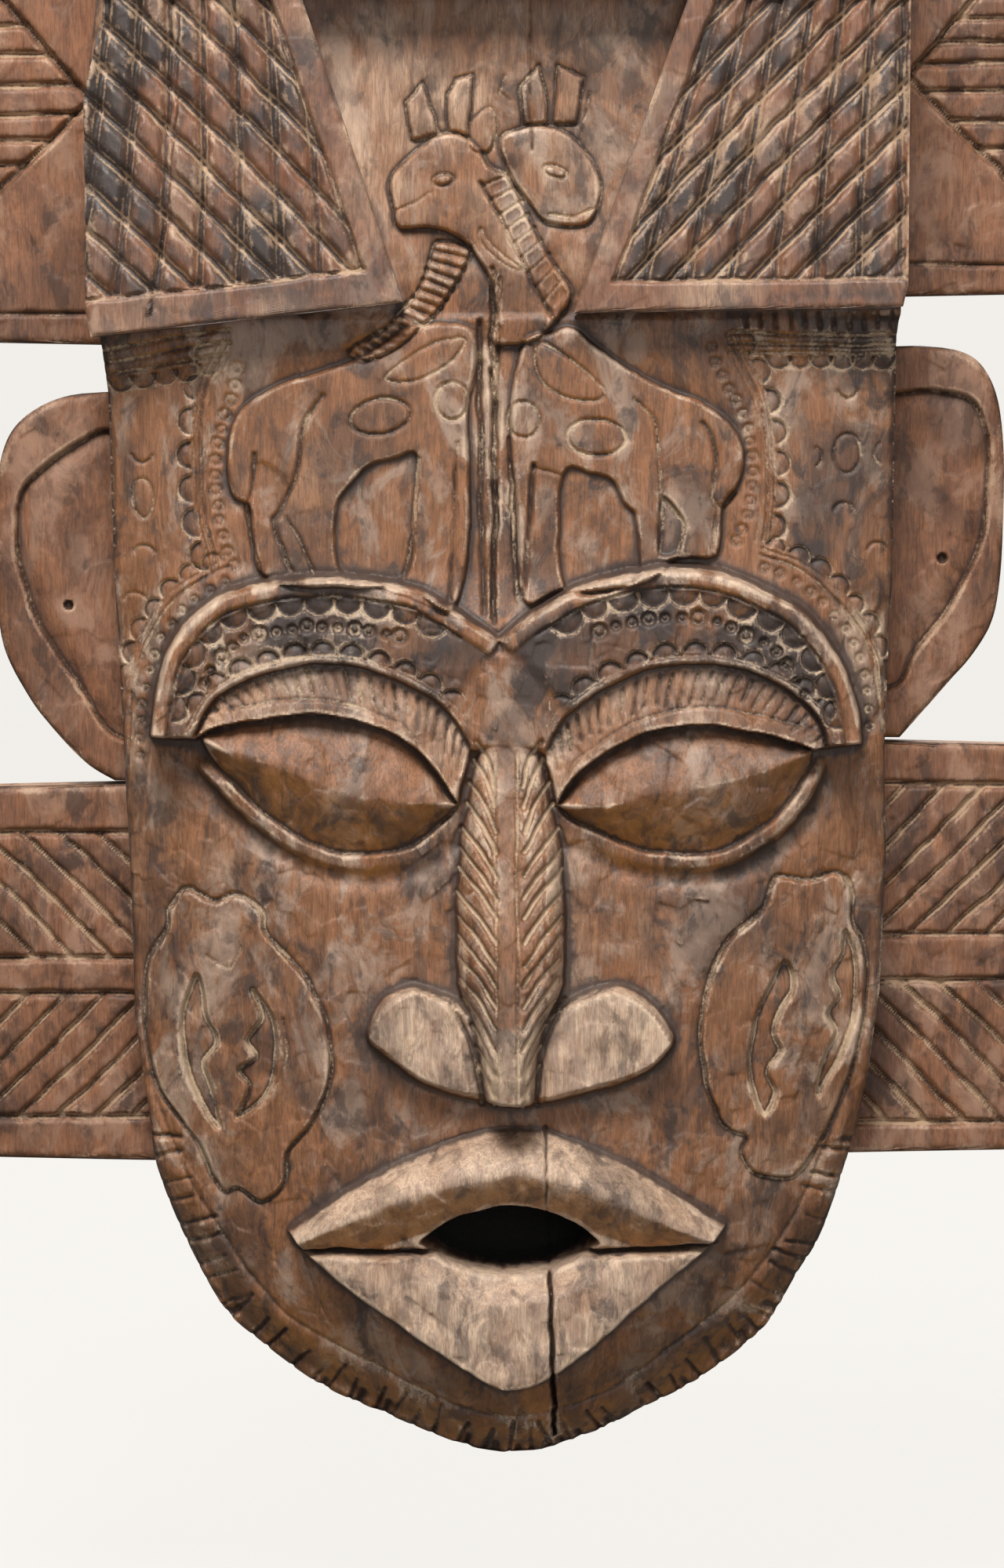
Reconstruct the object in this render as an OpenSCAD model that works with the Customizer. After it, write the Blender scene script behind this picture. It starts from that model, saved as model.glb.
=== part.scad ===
// Carved wooden wall mask: one carved face block with applied crown panels, side boards and a hanger.
// The back lies in the plane Y = 0 and the face looks along -Y. Z is up and X = 0 is the centre line.

/* [Block] */
// Thickness of the crown ground, from the back plane
crown_depth = 52; // [44:1:60]
// Depth of the cheeks at the centre line
face_depth = 62; // [58:1:68]
// Depth of the forehead's ground
forehead_depth = 54; // [53:1:57]
// Depth of the nose tip
nose_depth = 94; // [86:1:100]
// Depth of the brow ridge
brow_depth = 76; // [70:1:82]
// Depth of the lips' front edge
lip_depth = 80; // [74:1:86]
// Depth of the hollow in the back
hollow_depth = 34; // [24:1:38]
// Distance from the back plane to the bottom of the mouth
mouth_floor = 38; // [36:1:50]
// Radius of the face's side to side curve
face_radius = 500; // [420:10:700]

/* [Crown] */
// Thickness of the lattice panels
panel_t = 18; // [12:1:20]
// Top of the crown
crown_top = 326; // [310:1:340]
// Width of a carved lattice groove
groove_w = 3.2; // [2:0.2:4]

/* [Boards] */
// Thickness of the ears and wings
board_t = 18; // [14:1:22]
// How far the boards reach out from the centre line
wing_reach = 222; // [200:1:240]
// Radius of the nail holes in the ears
nail_hole_r = 1.6; // [1.4:0.1:2.5]

/* [Hanger] */
// Height of the hanger's pivot
hanger_z = 230; // [210:1:260]
// Radius of the ring's wire
wire_r = 1.4; // [1.2:0.1:1.8]
// Radial play between the ring's bar and its eye
eye_play = 0.06; // [0.02:0.01:0.1]
// Depth of the pocket behind the crown
pocket_depth = 12; // [11:1:16]

/* [Hidden] */
$fn = 64;
panel_front = crown_depth + panel_t;
lap_x = 110;
step_gap = 0.4;

wood = [0.50, 0.34, 0.23];
wood_red = [0.44, 0.28, 0.19];
wood_dark = [0.33, 0.22, 0.15];
wood_pale = [0.62, 0.48, 0.36];
steel = [0.55, 0.54, 0.52];

// outlines, seen from the front, in millimetres (x, z)
chin_line = [[-133, -150], [-121.5, -175], [-106, -204.5], [-92, -216.5], [-80, -227.5], [-66, -238],
  [-46.5, -249], [-28.5, -257], [-9, -263], [5, -264], [20, -262], [40.5, -254],
  [54.5, -246], [67, -238.5], [79, -230.5], [100, -212], [112, -191], [120.5, -177.5],
  [129, -158.5], [136, -142]];
side_right = [[142,-112],[146,-81],[148,-30],[147,12],[149,72],[151,178]];
side_left = [[-157,178],[-148,72],[-145,2],[-143,-40],[-142,-91],[-140,-107],[-135,-128]];
jaw_line = [[-136,-120],[-128,-140],[-118,-157],[-101,-180],[-83,-200],[-64,-213],[-46,-224],
    [-28,-234],[-9,-241],[5,-243],[20,-240],[35,-236],[50,-227],[70,-210],[89,-194],[104,-177],
    [116,-160],[126,-140],[134,-120]];
left_panel_line = [[-154,170],[-37,183],[-75,297.5],[-147,297.5],[-156,259],[-156,180]];
right_panel_line = [[27,179],[150,181],[152,190],[152,297.5],[70,297.5]];
left_ear_line = [[-112,149],[-151,149.4],[-167,148],[-180,143],[-190,134],[-195,120],[-197,99],
    [-196.5,75],[-194,51],[-184,30.5],[-172,15],[-161,4],[-152,-2],[-112,-2]];
right_ear_line = [[112,166],[150,166.5],[162,167],[177,165],[186,159],[192,146],[194.5,125],[194.5,99],
    [193.5,77],[190.5,60.5],[183.5,48],[172,34.5],[156,15],[112,15]];

function spline_point(p, i, t) = let(n = len(p), a = p[max(i - 1, 0)], b = p[i],
    c = p[min(i + 1, n - 1)], d = p[min(i + 2, n - 1)])
    0.5 * (2 * b + (c - a) * t + (2 * a - 5 * b + 4 * c - d) * t * t
        + (3 * b - a - 3 * c + d) * t * t * t);
function smooth_line(p, steps) = [for (i = [0 : len(p) - 2], s = [0 : steps - 1])
    spline_point(p, i, s / steps), p[len(p) - 1]];

// a flat outline raised from one depth to another
module raised(from, to) {
    translate([0, -from, 0]) rotate([90, 0, 0]) linear_extrude(to - from) children();
}

// a V groove from p to q cut into the face at the given depth
module v_groove(p, q, face, w) {
    v = q - p;
    s = w / sqrt(2);
    translate([p[0], -face, p[1]]) rotate([0, -atan2(v[1], v[0]), 0]) rotate([45, 0, 0])
        translate([0, -s / 2, -s / 2]) cube([norm(v), s, s]);
}

// a square-cut groove from p to q
module flat_groove(p, q, face, w, deep) {
    v = q - p;
    translate([p[0], -face, p[1]]) rotate([0, -atan2(v[1], v[0]), 0])
        translate([0, -deep, -w / 2]) cube([norm(v), 2 * deep, w]);
}

// a ring-shaped groove
module ring_groove(c, r, face, w, deep) {
    translate([c[0], -face - deep, c[1]]) rotate([-90, 0, 0]) difference() {
        cylinder(r = r + w / 2, h = 2 * deep);
        translate([0, 0, -1]) cylinder(r = r - w / 2, h = 2 * deep + 2);
    }
}

module disc(c, r, from, to) {
    translate([c[0], -from, c[1]]) rotate([90, 0, 0]) cylinder(r = r, h = to - from);
}

// a lens between two circles: upper arc (c1, r1) and lower arc (c2, r2)
module lens(c1, r1, c2, r2, from, to) {
    intersection() { disc(c1, r1, from, to); disc(c2, r2, from, to); }
}

module block_outline() {
    polygon(concat(chin_line, side_right, [[151, crown_top], [-149, crown_top], [-157, 259]], side_left));
}

module dome() {
    translate([0, -face_depth + face_radius, -300]) cylinder(r = face_radius, h = 700, $fn = 128);
}

module eyeball(x, z, upper_x, upper_z, upper_r, lower_x, lower_z, lower_r) {
    intersection() {
        translate([x, 0, z]) sphere(r = 66);
        raised(30, 80) intersection() {
            translate([upper_x, upper_z]) circle(r = upper_r - 4);
            translate([lower_x, lower_z]) circle(r = lower_r - 4);
        }
    }
}

module brow(cx, cz, ro, ix, iz, ri, s, cut_z) {
    raised(40, brow_depth) difference() {
        intersection() {
            translate([cx, cz]) circle(r = ro);
            translate([s > 0 ? -1 : -150, cut_z]) square([151, 90]);
        }
        translate([ix, iz]) circle(r = ri);
    }
}

module nose() {
    intersection() {
        translate([-40, 0, 0]) rotate([90, 0, 90]) linear_extrude(80)
            polygon([[-40, 60], [-70, 56], [-68, 16], [-78, -20], [-nose_depth + 4, -90],
                [-nose_depth, -114], [-nose_depth + 6, -121], [-60, -124], [-40, -124]]);
        raised(30, 100) polygon([[-11, 60], [-11, 16], [-18, -20], [-19, -75], [-14, -95], [-10, -122],
            [16, -122], [20, -95], [25, -75], [24, -20], [16, 16], [12, 60]]);
    }
    for (c = [[-29, -98], [40, -98]]) intersection() {
        translate([c[0], -58, c[1]]) sphere(r = 24);
        translate([-60, -100, -121.5]) cube([120, 70, 60]);
    }
}

module nose_grooves() {
    for (i = [0 : 13], s = [-1, 1]) {
        z = 8 - i * 8.4;
        front = z > -20 ? 68 + (16 - z) * 10 / 36 : 78 + (-20 - z) * (nose_depth - 82) / 70;
        v_groove([3 + s * 24, z + 9], [3 + s * 5, z - 7], front, 2.6);
    }
}

module lips() {
    difference() {
        union() {
            raised(44, lip_depth - 8) polygon(smooth_line([[-82, -172], [-66, -158], [-40, -145],
                [-14, -134], [4, -131], [22, -134], [48, -144], [70, -156], [86, -170]], 4));
            raised(44, lip_depth) polygon([[-74, -178], [-40, -161], [-2, -148], [16, -149], [42, -159],
                [76, -178]]);
            raised(44, lip_depth - 3) polygon(concat([[-74, -180]], smooth_line([[-61, -193], [-37, -209],
                [-18, -221], [-4, -230], [4, -232], [16, -228], [34, -216], [58, -195], [77, -180]], 4)));
        }
        translate([0, 0, -0.8]) raised(lip_depth - 12, 100) translate([-90, -179]) square([180, 1.6]);
    }
}

module mouth_hole() {
    lens([3.2, -210.3], 49.3, [3.2, -133.9], 53.6, mouth_floor, 120);
}

module cheek_motif(s) {
    x = s < 0 ? -101 : 104;
    z = s < 0 ? -92 : -82;
    difference() {
        lens([x - s * 26, z], 66, [x + s * 26, z], 66, 40, face_depth - 8);
        lens([x - s * 14, z], 30, [x - s * 40, z], 30, face_depth - 12, face_depth);
    }
}

module jaw_notches() {
    for (p = smooth_line(chin_line, 2)) {
        inward = ([3, -100] - p) / norm([3, -100] - p);
        v_groove(p - 2 * inward, p + 16 * inward, 30, 5);
    }
}

// a standing giraffe, seen from the side, facing +X, with its feet at z = 0
module giraffe_body() {
    polygon(smooth_line([[0, 58], [6, 66], [22, 72], [44, 78], [60, 92], [72, 88], [70, 60], [62, 44],
        [60, 0], [50, 0], [48, 40], [30, 36], [26, 2], [16, 2], [14, 30], [8, 36], [2, 20], [-2, 22],
        [0, 58]], 3));
}

module giraffes() {
    difference() {
        union() {
            raised(crown_depth - 2, forehead_depth + 3.5) translate([-96, 86]) giraffe_body();
            raised(crown_depth - 2, forehead_depth + 3.5) translate([92, 90]) mirror([1, 0]) giraffe_body();
            // crossing necks and heads
            raised(crown_depth - 2, crown_depth + 5) polygon([[-34, 166], [22, 250], [-3, 243],
                [-38, 212], [-42, 220], [-31, 243], [-36, 262], [-28, 262], [-24, 246], [-20, 262],
                [-12, 266], [-14, 246], [2, 232], [26, 186], [12, 172], [-8, 200]]);
            raised(crown_depth - 2, crown_depth + 3) polygon([[2, 225], [4, 248], [8, 270], [15, 270],
                [15, 252], [24, 252], [26, 271], [33, 270], [30, 244], [37, 222], [32, 212], [14, 214]]);
        }
        // the applied panels lie flat on the block
        raised(crown_depth, 80) polygon(left_panel_line);
        raised(crown_depth, 80) polygon(right_panel_line);
    }
}

module face_block() {
    color(wood) difference() {
        union() {
            // back layer to the silhouette, then the domed face inside the jaw line
            raised(0, 30) block_outline();
            difference() {
                intersection() {
                    raised(20, face_depth) polygon(concat(jaw_line, [[142, -80], [145, 72], [147, 178],
                        [-147, 178], [-145, 72], [-140, -80]]));
                    dome();
                    translate([-200, 0, 0]) rotate([90, 0, 90]) linear_extrude(400)
                        polygon([[0, -260], [-44, -260], [-44, -243], [-58, -196], [-64, -120], [-64, 62],
                            [-forehead_depth, 78], [-forehead_depth, 180], [0, 180]]);
                }
                raised(crown_depth, 80) polygon(left_panel_line);
            }
            raised(0, crown_depth) polygon([[151, 170], [151, crown_top], [-149, crown_top], [-157, 259],
                [-156, 170]]);
            giraffes();
            brow(-58.8, 1, 79.1, -65.8, -21.7, 66.8, -1, 18);
            brow(59.5, 7.4, 76.8, 65.4, -11.9, 59.9, 1, 17);
            nose();
            lips();
            cheek_motif(-1);
            cheek_motif(1);
        }
        // the eye sockets, cut down to a shelf, keep a bulging lid
        difference() {
            lens([-78.4, -39.7], 68.7, [-62.7, 18.3], 51.3, 40, 66);
            eyeball(-65, -4, -78.4, -39.7, 68.7, -62.7, 18.3, 51.3);
        }
        difference() {
            lens([79.4, -43.4], 69.4, [66.1, 18.1], 51.6, 40, 66);
            eyeball(67, -6, 79.4, -43.4, 69.4, 66.1, 18.1, 51.6);
        }
        nose_grooves();
        jaw_notches();
        mouth_hole();
        // rings and borders of the forehead
        ring_groove([-136, 109], 6, 46, 1.4, 3);
        ring_groove([131, 126], 6, 46, 1.4, 3);
        ring_groove([-19, 146], 6, forehead_depth + 3.5, 1.4, 1.5);
        ring_groove([8, 139], 6, forehead_depth + 3.5, 1.4, 1.5);
        for (s = [-1, 1]) intersection() {
            ring_groove([s * 38 - 5, 124], 72, forehead_depth, 2, 5);
            raised(40, 70) translate([s > 0 ? 80 : -140, 84]) square([60, 86]);
        }
        // hollow behind the face, pocket for the hanger, laps for the boards, seat for the brace
        translate([0, 1, 0]) raised(0, hollow_depth + 1) polygon([[-88, 150], [-88, -100], [-80, -138],
            [-62, -150], [64, -150], [82, -138], [88, -100], [88, 150]]);
        translate([0, 1, 0]) raised(0, pocket_depth + 1) translate([-30, 205]) square([60, 56]);
        translate([0, 1, 0]) raised(0, board_t + 1) translate([-170, -156]) square([60, 506]);
        translate([0, 1, 0]) raised(0, board_t + 1) translate([110, -156]) square([60, 506]);
        translate([0, 1, 0]) raised(0, 13) translate([-106, -16]) square([212, 32]);
    }
}

// a lattice-carved crown panel: fanning steep grooves crossed by slanting ones
module lattice(field, top_a, top_b, low_a, low_b, count, slant, mid_x) {
    intersection() {
        raised(panel_front - 5, panel_front + 5) polygon(field);
        union() {
            for (i = [0 : count - 1]) {
                k = i / (count - 1);
                flat_groove([low_a + (low_b - low_a) * k, 178], [top_a + (top_b - top_a) * k, 300],
                    panel_front, groove_w - 0.8, 1.6);
            }
            for (z = [130 : 15 : 350])
                flat_groove([mid_x - 60, z - slant * 60], [mid_x + 60, z + slant * 60], panel_front,
                    groove_w - 1.2, 1.1);
        }
    }
}

module left_crown_panel() {
    color(wood_dark) difference() {
        raised(crown_depth, panel_front) polygon(left_panel_line);
        lattice([[-156, 184.5], [-157, 259], [-148, 296], [-87, 296], [-52, 195]],
            -149, -88, -157, -50, 8, -1.05, -104);
        flat_groove([-156, 183], [-50, 194], panel_front, 2.4, 2);
        flat_groove([-51, 194], [-86, 297], panel_front, 2.4, 2);
    }
}

module right_crown_panel() {
    color(wood_dark) difference() {
        raised(crown_depth, panel_front) polygon(right_panel_line);
        lattice([[44, 192], [151, 193], [151, 296], [81, 296]],
            82, 152, 44, 152, 7, 0.95, 98);
        flat_groove([43, 190.5], [152, 191.5], panel_front, 2.4, 2);
        flat_groove([43, 191], [80, 297], panel_front, 2.4, 2);
    }
}

module crown_rail() {
    color(wood) difference() {
        raised(crown_depth, panel_front + 2) polygon([[-150, 298], [151, 298], [150, crown_top],
            [-147, crown_top]]);
        flat_groove([-150, 318], [151, 318], panel_front + 2, 2.4, 2);
    }
}

module upper_wing(s, low, bar, apex, upper, lower) {
    color(wood_red) difference() {
        raised(0, board_t) polygon([[s * 112, low], [s * (wing_reach - 6), low],
            [s * wing_reach, low + 14], [s * wing_reach, 300], [s * (wing_reach - 22), crown_top - 8],
            [s * 112, crown_top - 8]]);
        flat_groove([s * 112, bar], [s * 230, bar], board_t, 2.4, 2);
        v_groove(apex, upper, board_t, 3.4);
        v_groove(apex, lower, board_t, 3.4);
        for (k = [0.25 : 0.25 : 1.6])
            v_groove(apex + k * (lower - apex), apex + k * (lower - apex) + [s * 60, 0], board_t, 2.6);
        for (k = [0.25 : 0.25 : 1.6])
            v_groove(apex + k * (upper - apex), apex + k * (upper - apex) + [s * 60, 0], board_t, 2.6);
    }
}

module left_upper_wing() { upper_wing(-1, 166.5, 180, [-158, 261], [-191, 298], [-192, 228]); }
module right_upper_wing() { upper_wing(1, 185, 199, [156, 270], [181, 299], [192, 234]); }

module ear(line, inner, hole) {
    color(wood_red) difference() {
        raised(0, board_t) polygon(smooth_line(line, 3));
        raised(board_t - 3, board_t + 1) polygon(smooth_line(inner, 3));
        translate([hole[0], 1, hole[1]]) rotate([90, 0, 0]) cylinder(r = nail_hole_r, h = board_t + 2);
    }
}

module left_ear() {
    ear(left_ear_line, [[-108, 135], [-150, 135], [-163, 131], [-173, 124], [-184, 115], [-188, 104],
        [-188, 84], [-183, 66], [-176, 52], [-163, 33], [-148, 14], [-108, 14]], [-168.6, 66.6]);
}

module right_ear() {
    ear(right_ear_line, [[108, 148], [150, 142], [166, 147], [178, 144], [186, 134], [188, 120],
        [188, 104], [185, 88], [176, 70], [163, 50], [150, 32], [108, 32]], [171, 84.9]);
}

module lower_wing(s, top, low, bars) {
    color(wood) difference() {
        raised(0, board_t) polygon([[s * 112, low], [s * (wing_reach - 8), low + 3],
            [s * wing_reach, low + 14], [s * wing_reach, top - 14], [s * (wing_reach - 8), top - 3],
            [s * 112, top]]);
        for (z = bars) flat_groove([s * 112, z], [s * 230, z], board_t, 2.4, 2);
        for (i = [0 : 6]) {
            x = s * (128 + 16 * i);
            v_groove([x, bars[1] + 2], [x - s * 40, bars[0] - 2], board_t, 2.8);
            v_groove([x - s * 40, bars[3] + 2], [x, bars[2] - 2], board_t, 2.8);
        }
    }
}

module left_lower_wing() { lower_wing(-1, -2.6, -152.5, [-21.5, -71.5, -85.5, -134.5]); }
module right_lower_wing() { lower_wing(1, 14, -149.5, [-3, -62.5, -80.5, -136.5]); }

module dowel(x, z) {
    translate([x, -40, z]) rotate([90, 0, 0]) cylinder(r = 4, h = 22);
}

module crown_dowels() {
    color(wood_pale) {
        dowel(-130, 205); dowel(-100, 265); dowel(130, 212); dowel(105, 268);
        dowel(-100, 311); dowel(0, 309); dowel(100, 311);
    }
}

module cross_batten() {
    color(wood_pale) difference() {
        raised(0, 12) translate([-105.6, -15.6]) square([211.2, 31.2]);
        for (s = [-1, 1]) translate([s * 97, 0.1, 0]) rotate([90, 0, 0]) {
            cylinder(r = 2.2, h = 13);
            cylinder(r1 = 4.4, r2 = 2.2, h = 2.4);
        }
    }
}

module batten_screws() {
    color(steel) for (s = [-1, 1]) translate([s * 97, 0, 0]) rotate([90, 0, 0]) {
        cylinder(r1 = 4.2, r2 = 2, h = 2.4);
        translate([0, 0, 2.3]) cylinder(r = 2, h = 26);
    }
}

module board_nail(x, z) {
    translate([x, 0, z]) rotate([90, 0, 0]) {
        cylinder(r = 3.2, h = 1.2);
        cylinder(r = 1.4, h = 34);
    }
}

module left_board_nails() {
    color(steel) for (z = [-120, -30, 30, 125, 190, 300]) board_nail(-128, z);
}

module right_board_nails() {
    color(steel) for (z = [-120, -30, 45, 140, 205, 300]) board_nail(128, z);
}

eye_r = wire_r + eye_play;
pivot_depth = pocket_depth - 3.4;

module hanger_plate() {
    color(steel) difference() {
        union() {
            raised(pocket_depth - 1.6, pocket_depth) translate([-24, hanger_z - 8]) square([48, 16]);
            translate([-6.5, -pivot_depth, hanger_z]) rotate([0, 90, 0]) cylinder(r = 3.4, h = 13);
        }
        translate([-8, -pivot_depth, hanger_z]) rotate([0, 90, 0]) cylinder(r = eye_r, h = 16);
        for (s = [-1, 1]) translate([s * 19, 0, hanger_z]) rotate([90, 0, 0])
            cylinder(r = 1.8, h = pocket_depth + 1);
    }
}

module hanger_screws() {
    color(steel) for (s = [-1, 1]) translate([s * 19, -pocket_depth + 3.6, hanger_z]) rotate([90, 0, 0]) {
        cylinder(r = 3.2, h = 2);
        cylinder(r = 1.5, h = 18);
    }
}

module hanger_ring() {
    color(steel) translate([0, -pivot_depth, hanger_z]) {
        translate([-12, 0, 0]) rotate([0, 90, 0]) cylinder(r = wire_r, h = 24);
        for (s = [-1, 1]) translate([s * 12, 0, 0]) sphere(r = wire_r);
        rotate([90, 0, 0]) rotate([0, 0, 180]) rotate_extrude(angle = 180)
            translate([12, 0]) circle(r = wire_r, $fn = 32);
    }
}

face_block();
left_crown_panel();
right_crown_panel();
crown_rail();
left_upper_wing();
right_upper_wing();
left_ear();
right_ear();
left_lower_wing();
right_lower_wing();
crown_dowels();
cross_batten();
batten_screws();
left_board_nails();
right_board_nails();
hanger_plate();
hanger_screws();
hanger_ring();
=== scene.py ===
import math

import bpy
import numpy as np
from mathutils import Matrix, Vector


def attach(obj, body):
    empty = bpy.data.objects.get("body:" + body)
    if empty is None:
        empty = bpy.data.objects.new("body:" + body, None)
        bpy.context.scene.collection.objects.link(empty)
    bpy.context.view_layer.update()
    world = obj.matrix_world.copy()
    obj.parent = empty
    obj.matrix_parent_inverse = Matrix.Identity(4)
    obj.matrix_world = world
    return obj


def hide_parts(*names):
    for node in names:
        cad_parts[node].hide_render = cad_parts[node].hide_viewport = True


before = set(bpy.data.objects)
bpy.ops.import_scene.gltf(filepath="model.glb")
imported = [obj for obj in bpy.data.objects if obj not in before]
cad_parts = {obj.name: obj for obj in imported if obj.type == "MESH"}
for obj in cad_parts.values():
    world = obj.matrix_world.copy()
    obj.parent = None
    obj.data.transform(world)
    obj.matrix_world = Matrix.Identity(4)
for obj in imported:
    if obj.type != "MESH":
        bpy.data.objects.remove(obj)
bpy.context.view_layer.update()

MM = 0.001
WALL = 0.0  # depths below are from the wall, towards the viewer, in mm
SEAT = 52.05  # where the crown panels and the rail lie on the block
PANEL_FACE = 70
RAIL_FACE = 72
BOARD_FACE = 17.8  # side boards
LAP = 18.0  # laps that the side boards lie in
HOLLOW = 33.2
BRACE_SEAT = 12.0
HANGER_POCKET = 12.0
MOUTH_FLOOR = 26
PIECE_LIMIT = 190000  # triangles
CELL = 0.4  # side of a cell of a carving field, in mm
RANDOM = np.random.default_rng(7)


# ---------------------------------------------------------------- curves

def smooth(points, steps=8, closed=False):
    """Catmull-Rom curve through the points: each span is the cubic whose end slopes are half the
    difference of the neighbouring points."""
    p = np.array(points, float)
    if closed:
        p = np.vstack([p[-1:], p, p[:2]])
    else:
        p = np.vstack([p[:1], p, p[-1:]])
    a, b, c, d = p[:-3], p[1:-2], p[2:-1], p[3:]
    t = np.linspace(0, 1, steps, endpoint=False)[None, :, None]
    a, b, c, d = (v[:, None, :] for v in (a, b, c, d))
    line = 0.5 * (2 * b + (c - a) * t + (2 * a - 5 * b + 4 * c - d) * t**2 + (3 * b - a - 3 * c + d) * t**3)
    line = line.reshape(-1, 2)
    return line if closed else np.vstack([line, p[-2]])


def along(points, count, ends=True):
    """count points evenly spaced by arc length, with the unit tangent at each."""
    p = np.array(points, float)
    length = np.r_[0, np.cumsum(np.hypot(*np.diff(p, axis=0).T))]
    if ends:
        s = np.linspace(0, length[-1], count)
    else:
        s = (np.arange(count) + 0.5) / count * length[-1]
    at = np.stack([np.interp(s, length, p[:, i]) for i in (0, 1)], 1)
    ahead = np.stack([np.interp(s + 0.5, length, p[:, i]) for i in (0, 1)], 1)
    behind = np.stack([np.interp(s - 0.5, length, p[:, i]) for i in (0, 1)], 1)
    t = ahead - behind
    return at, t / np.maximum(np.hypot(t[:, 0], t[:, 1]), 1e-9)[:, None]


def arc(centre, radius, start, stop, count=14):
    """Points on a circular arc, angles in degrees from +x."""
    a = np.radians(np.linspace(start, stop, count))
    return np.stack([centre[0] + radius * np.cos(a), centre[1] + radius * np.sin(a)], 1)


def oval(centre, rx, rz, tilt=0, count=28):
    """Points on a tilted ellipse."""
    a = np.linspace(0, 2 * np.pi, count)
    x, z = rx * np.cos(a), rz * np.sin(a)
    c, s = math.cos(math.radians(tilt)), math.sin(math.radians(tilt))
    return np.stack([centre[0] + x * c - z * s, centre[1] + x * s + z * c], 1)


def ease(t):
    """0 to 1 with level ends: 3t squared less 2t cubed, after t is kept within 0 and 1."""
    t = np.clip(t, 0, 1)
    return t * t * (3 - 2 * t)


# ---------------------------------------------------------------- carving field

class Carving:
    """Depth from the back plane over x and z, in mm, on an even grid, with masks for pale dust lying in
    the cuts, worn edges, and stain, which also carries painted shade."""

    def __init__(self, x0, x1, z0, z1, depth=0.0):
        self.x = np.arange(x0, x1 + CELL, CELL)
        self.z = np.arange(z0, z1 + CELL, CELL)
        self.X, self.Z = np.meshgrid(self.x, self.z)
        self.h = np.full(self.X.shape, depth, float)
        self.dust = np.zeros_like(self.h)
        self.wear = np.zeros_like(self.h)
        self.tone = np.zeros_like(self.h)
        self.rough = self.ripple(11)
        self.patchy = 0.6 * self.ripple(5) + 0.4 * self.ripple(16)
        # a hand never cuts a line quite where it was drawn
        self.U = self.X + 0.9 * (self.ripple(9) - 0.5) + 0.35 * (self.ripple(3) - 0.5)
        self.V = self.Z + 0.9 * (self.ripple(9) - 0.5) + 0.35 * (self.ripple(3) - 0.5)

    def ripple(self, size):
        """Smooth random values, 0 to 1, eased between the points of a coarse grid of that size."""
        rows, cols = (int(np.ptp(v) / size) + 3 for v in (self.z, self.x))
        coarse = RANDOM.random((rows, cols))
        v, u = (self.z - self.z[0]) / size, (self.x - self.x[0]) / size
        j, i = v.astype(int)[:, None], u.astype(int)[None, :]
        b, a = ease(v - v.astype(int))[:, None], ease(u - u.astype(int))[None, :]
        near = coarse[j, i] * (1 - a) + coarse[j, i + 1] * a
        far = coarse[j + 1, i] * (1 - a) + coarse[j + 1, i + 1] * a
        return near * (1 - b) + far * b

    def window(self, points, reach):
        """The rows and columns of the box round the points, widened by reach."""
        p = np.atleast_2d(points)
        lo, hi = p.min(0) - reach, p.max(0) + reach
        i = np.clip(np.searchsorted(self.x, [lo[0], hi[0]]), 0, len(self.x))
        j = np.clip(np.searchsorted(self.z, [lo[1], hi[1]]), 0, len(self.z))
        return (slice(j[0], j[1]), slice(i[0], i[1]))

    def gap(self, points, reach, closed=False):
        """Distance to the polyline inside the window that reaches that far from it."""
        p = np.array(points, float)
        if closed:
            p = np.vstack([p, p[:1]])
        w = self.window(p, reach)
        best = np.full(self.h[w].shape, float(reach) * 2)
        j0, i0 = w[0].start, w[1].start
        for a, b in zip(p[:-1], p[1:]):
            v = self.window(np.stack([a, b]), reach)
            x, z = self.U[v], self.V[v]
            d = b - a
            t = np.clip(((x - a[0]) * d[0] + (z - a[1]) * d[1]) / max(d @ d, 1e-9), 0, 1)
            r = np.hypot(x - a[0] - t * d[0], z - a[1] - t * d[1])
            part = best[v[0].start - j0:v[0].stop - j0, v[1].start - i0:v[1].stop - i0]
            np.minimum(part, r, out=part)
        return w, best

    def inside(self, points, w=None):
        """Even-odd test of the cells in the window against a closed outline."""
        p = np.array(points, float)
        w = w or self.window(p, 0)
        x, z = self.U[w], self.V[w]
        found = np.zeros(x.shape, bool)
        for a, b in zip(p, np.roll(p, -1, 0)):
            if a[1] == b[1]:
                continue
            crossing = ((a[1] > z) != (b[1] > z))
            found ^= crossing & (x < (b[0] - a[0]) * (z - a[1]) / (b[1] - a[1]) + a[0])
        return found

    def signed(self, points, reach):
        """Distance to a closed outline, positive inside it."""
        w, d = self.gap(points, reach, closed=True)
        return w, np.where(self.inside(points, w), d, -d)

    def cut(self, points, width, deep, dust=0.8, closed=False, sharp=1.2):
        """A V groove: the depth taken off falls from the middle to nothing at half the width."""
        w, d = self.gap(points, width / 2 + 0.6, closed)
        v = np.clip(1 - d / (width / 2), 0, 1)
        self.h[w] -= deep * v**sharp * (0.7 + 0.6 * self.rough[w])
        line = np.exp(-((d - 0.15 * width) / 0.55)**2)
        self.dust[w] = np.maximum(self.dust[w], dust * line * (0.35 + 0.9 * self.patchy[w]))

    def lift(self, points, high, soft=1.5):
        """Raises what lies inside an outline, with a sloped edge."""
        w, s = self.signed(points, soft + 1)
        self.h[w] += high * ease(s / soft + 0.5)

    def sink_round(self, points, deep, reach):
        """Lowers the ground outside an outline, falling off as exp(-distance / reach), so that the
        inside stands out, and paints shade in patches on the ground beside it."""
        w, s = self.signed(points, reach * 3)
        self.h[w] -= np.where(s < 0, deep * np.exp(s / reach), deep * np.exp(-s / 0.5))
        # painted shade, in patches, on the sunk ground just outside the outline
        self.tone[w] += np.where(s < 0, 0.42 * np.exp(s / 4) * self.patchy[w], 0)

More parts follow.
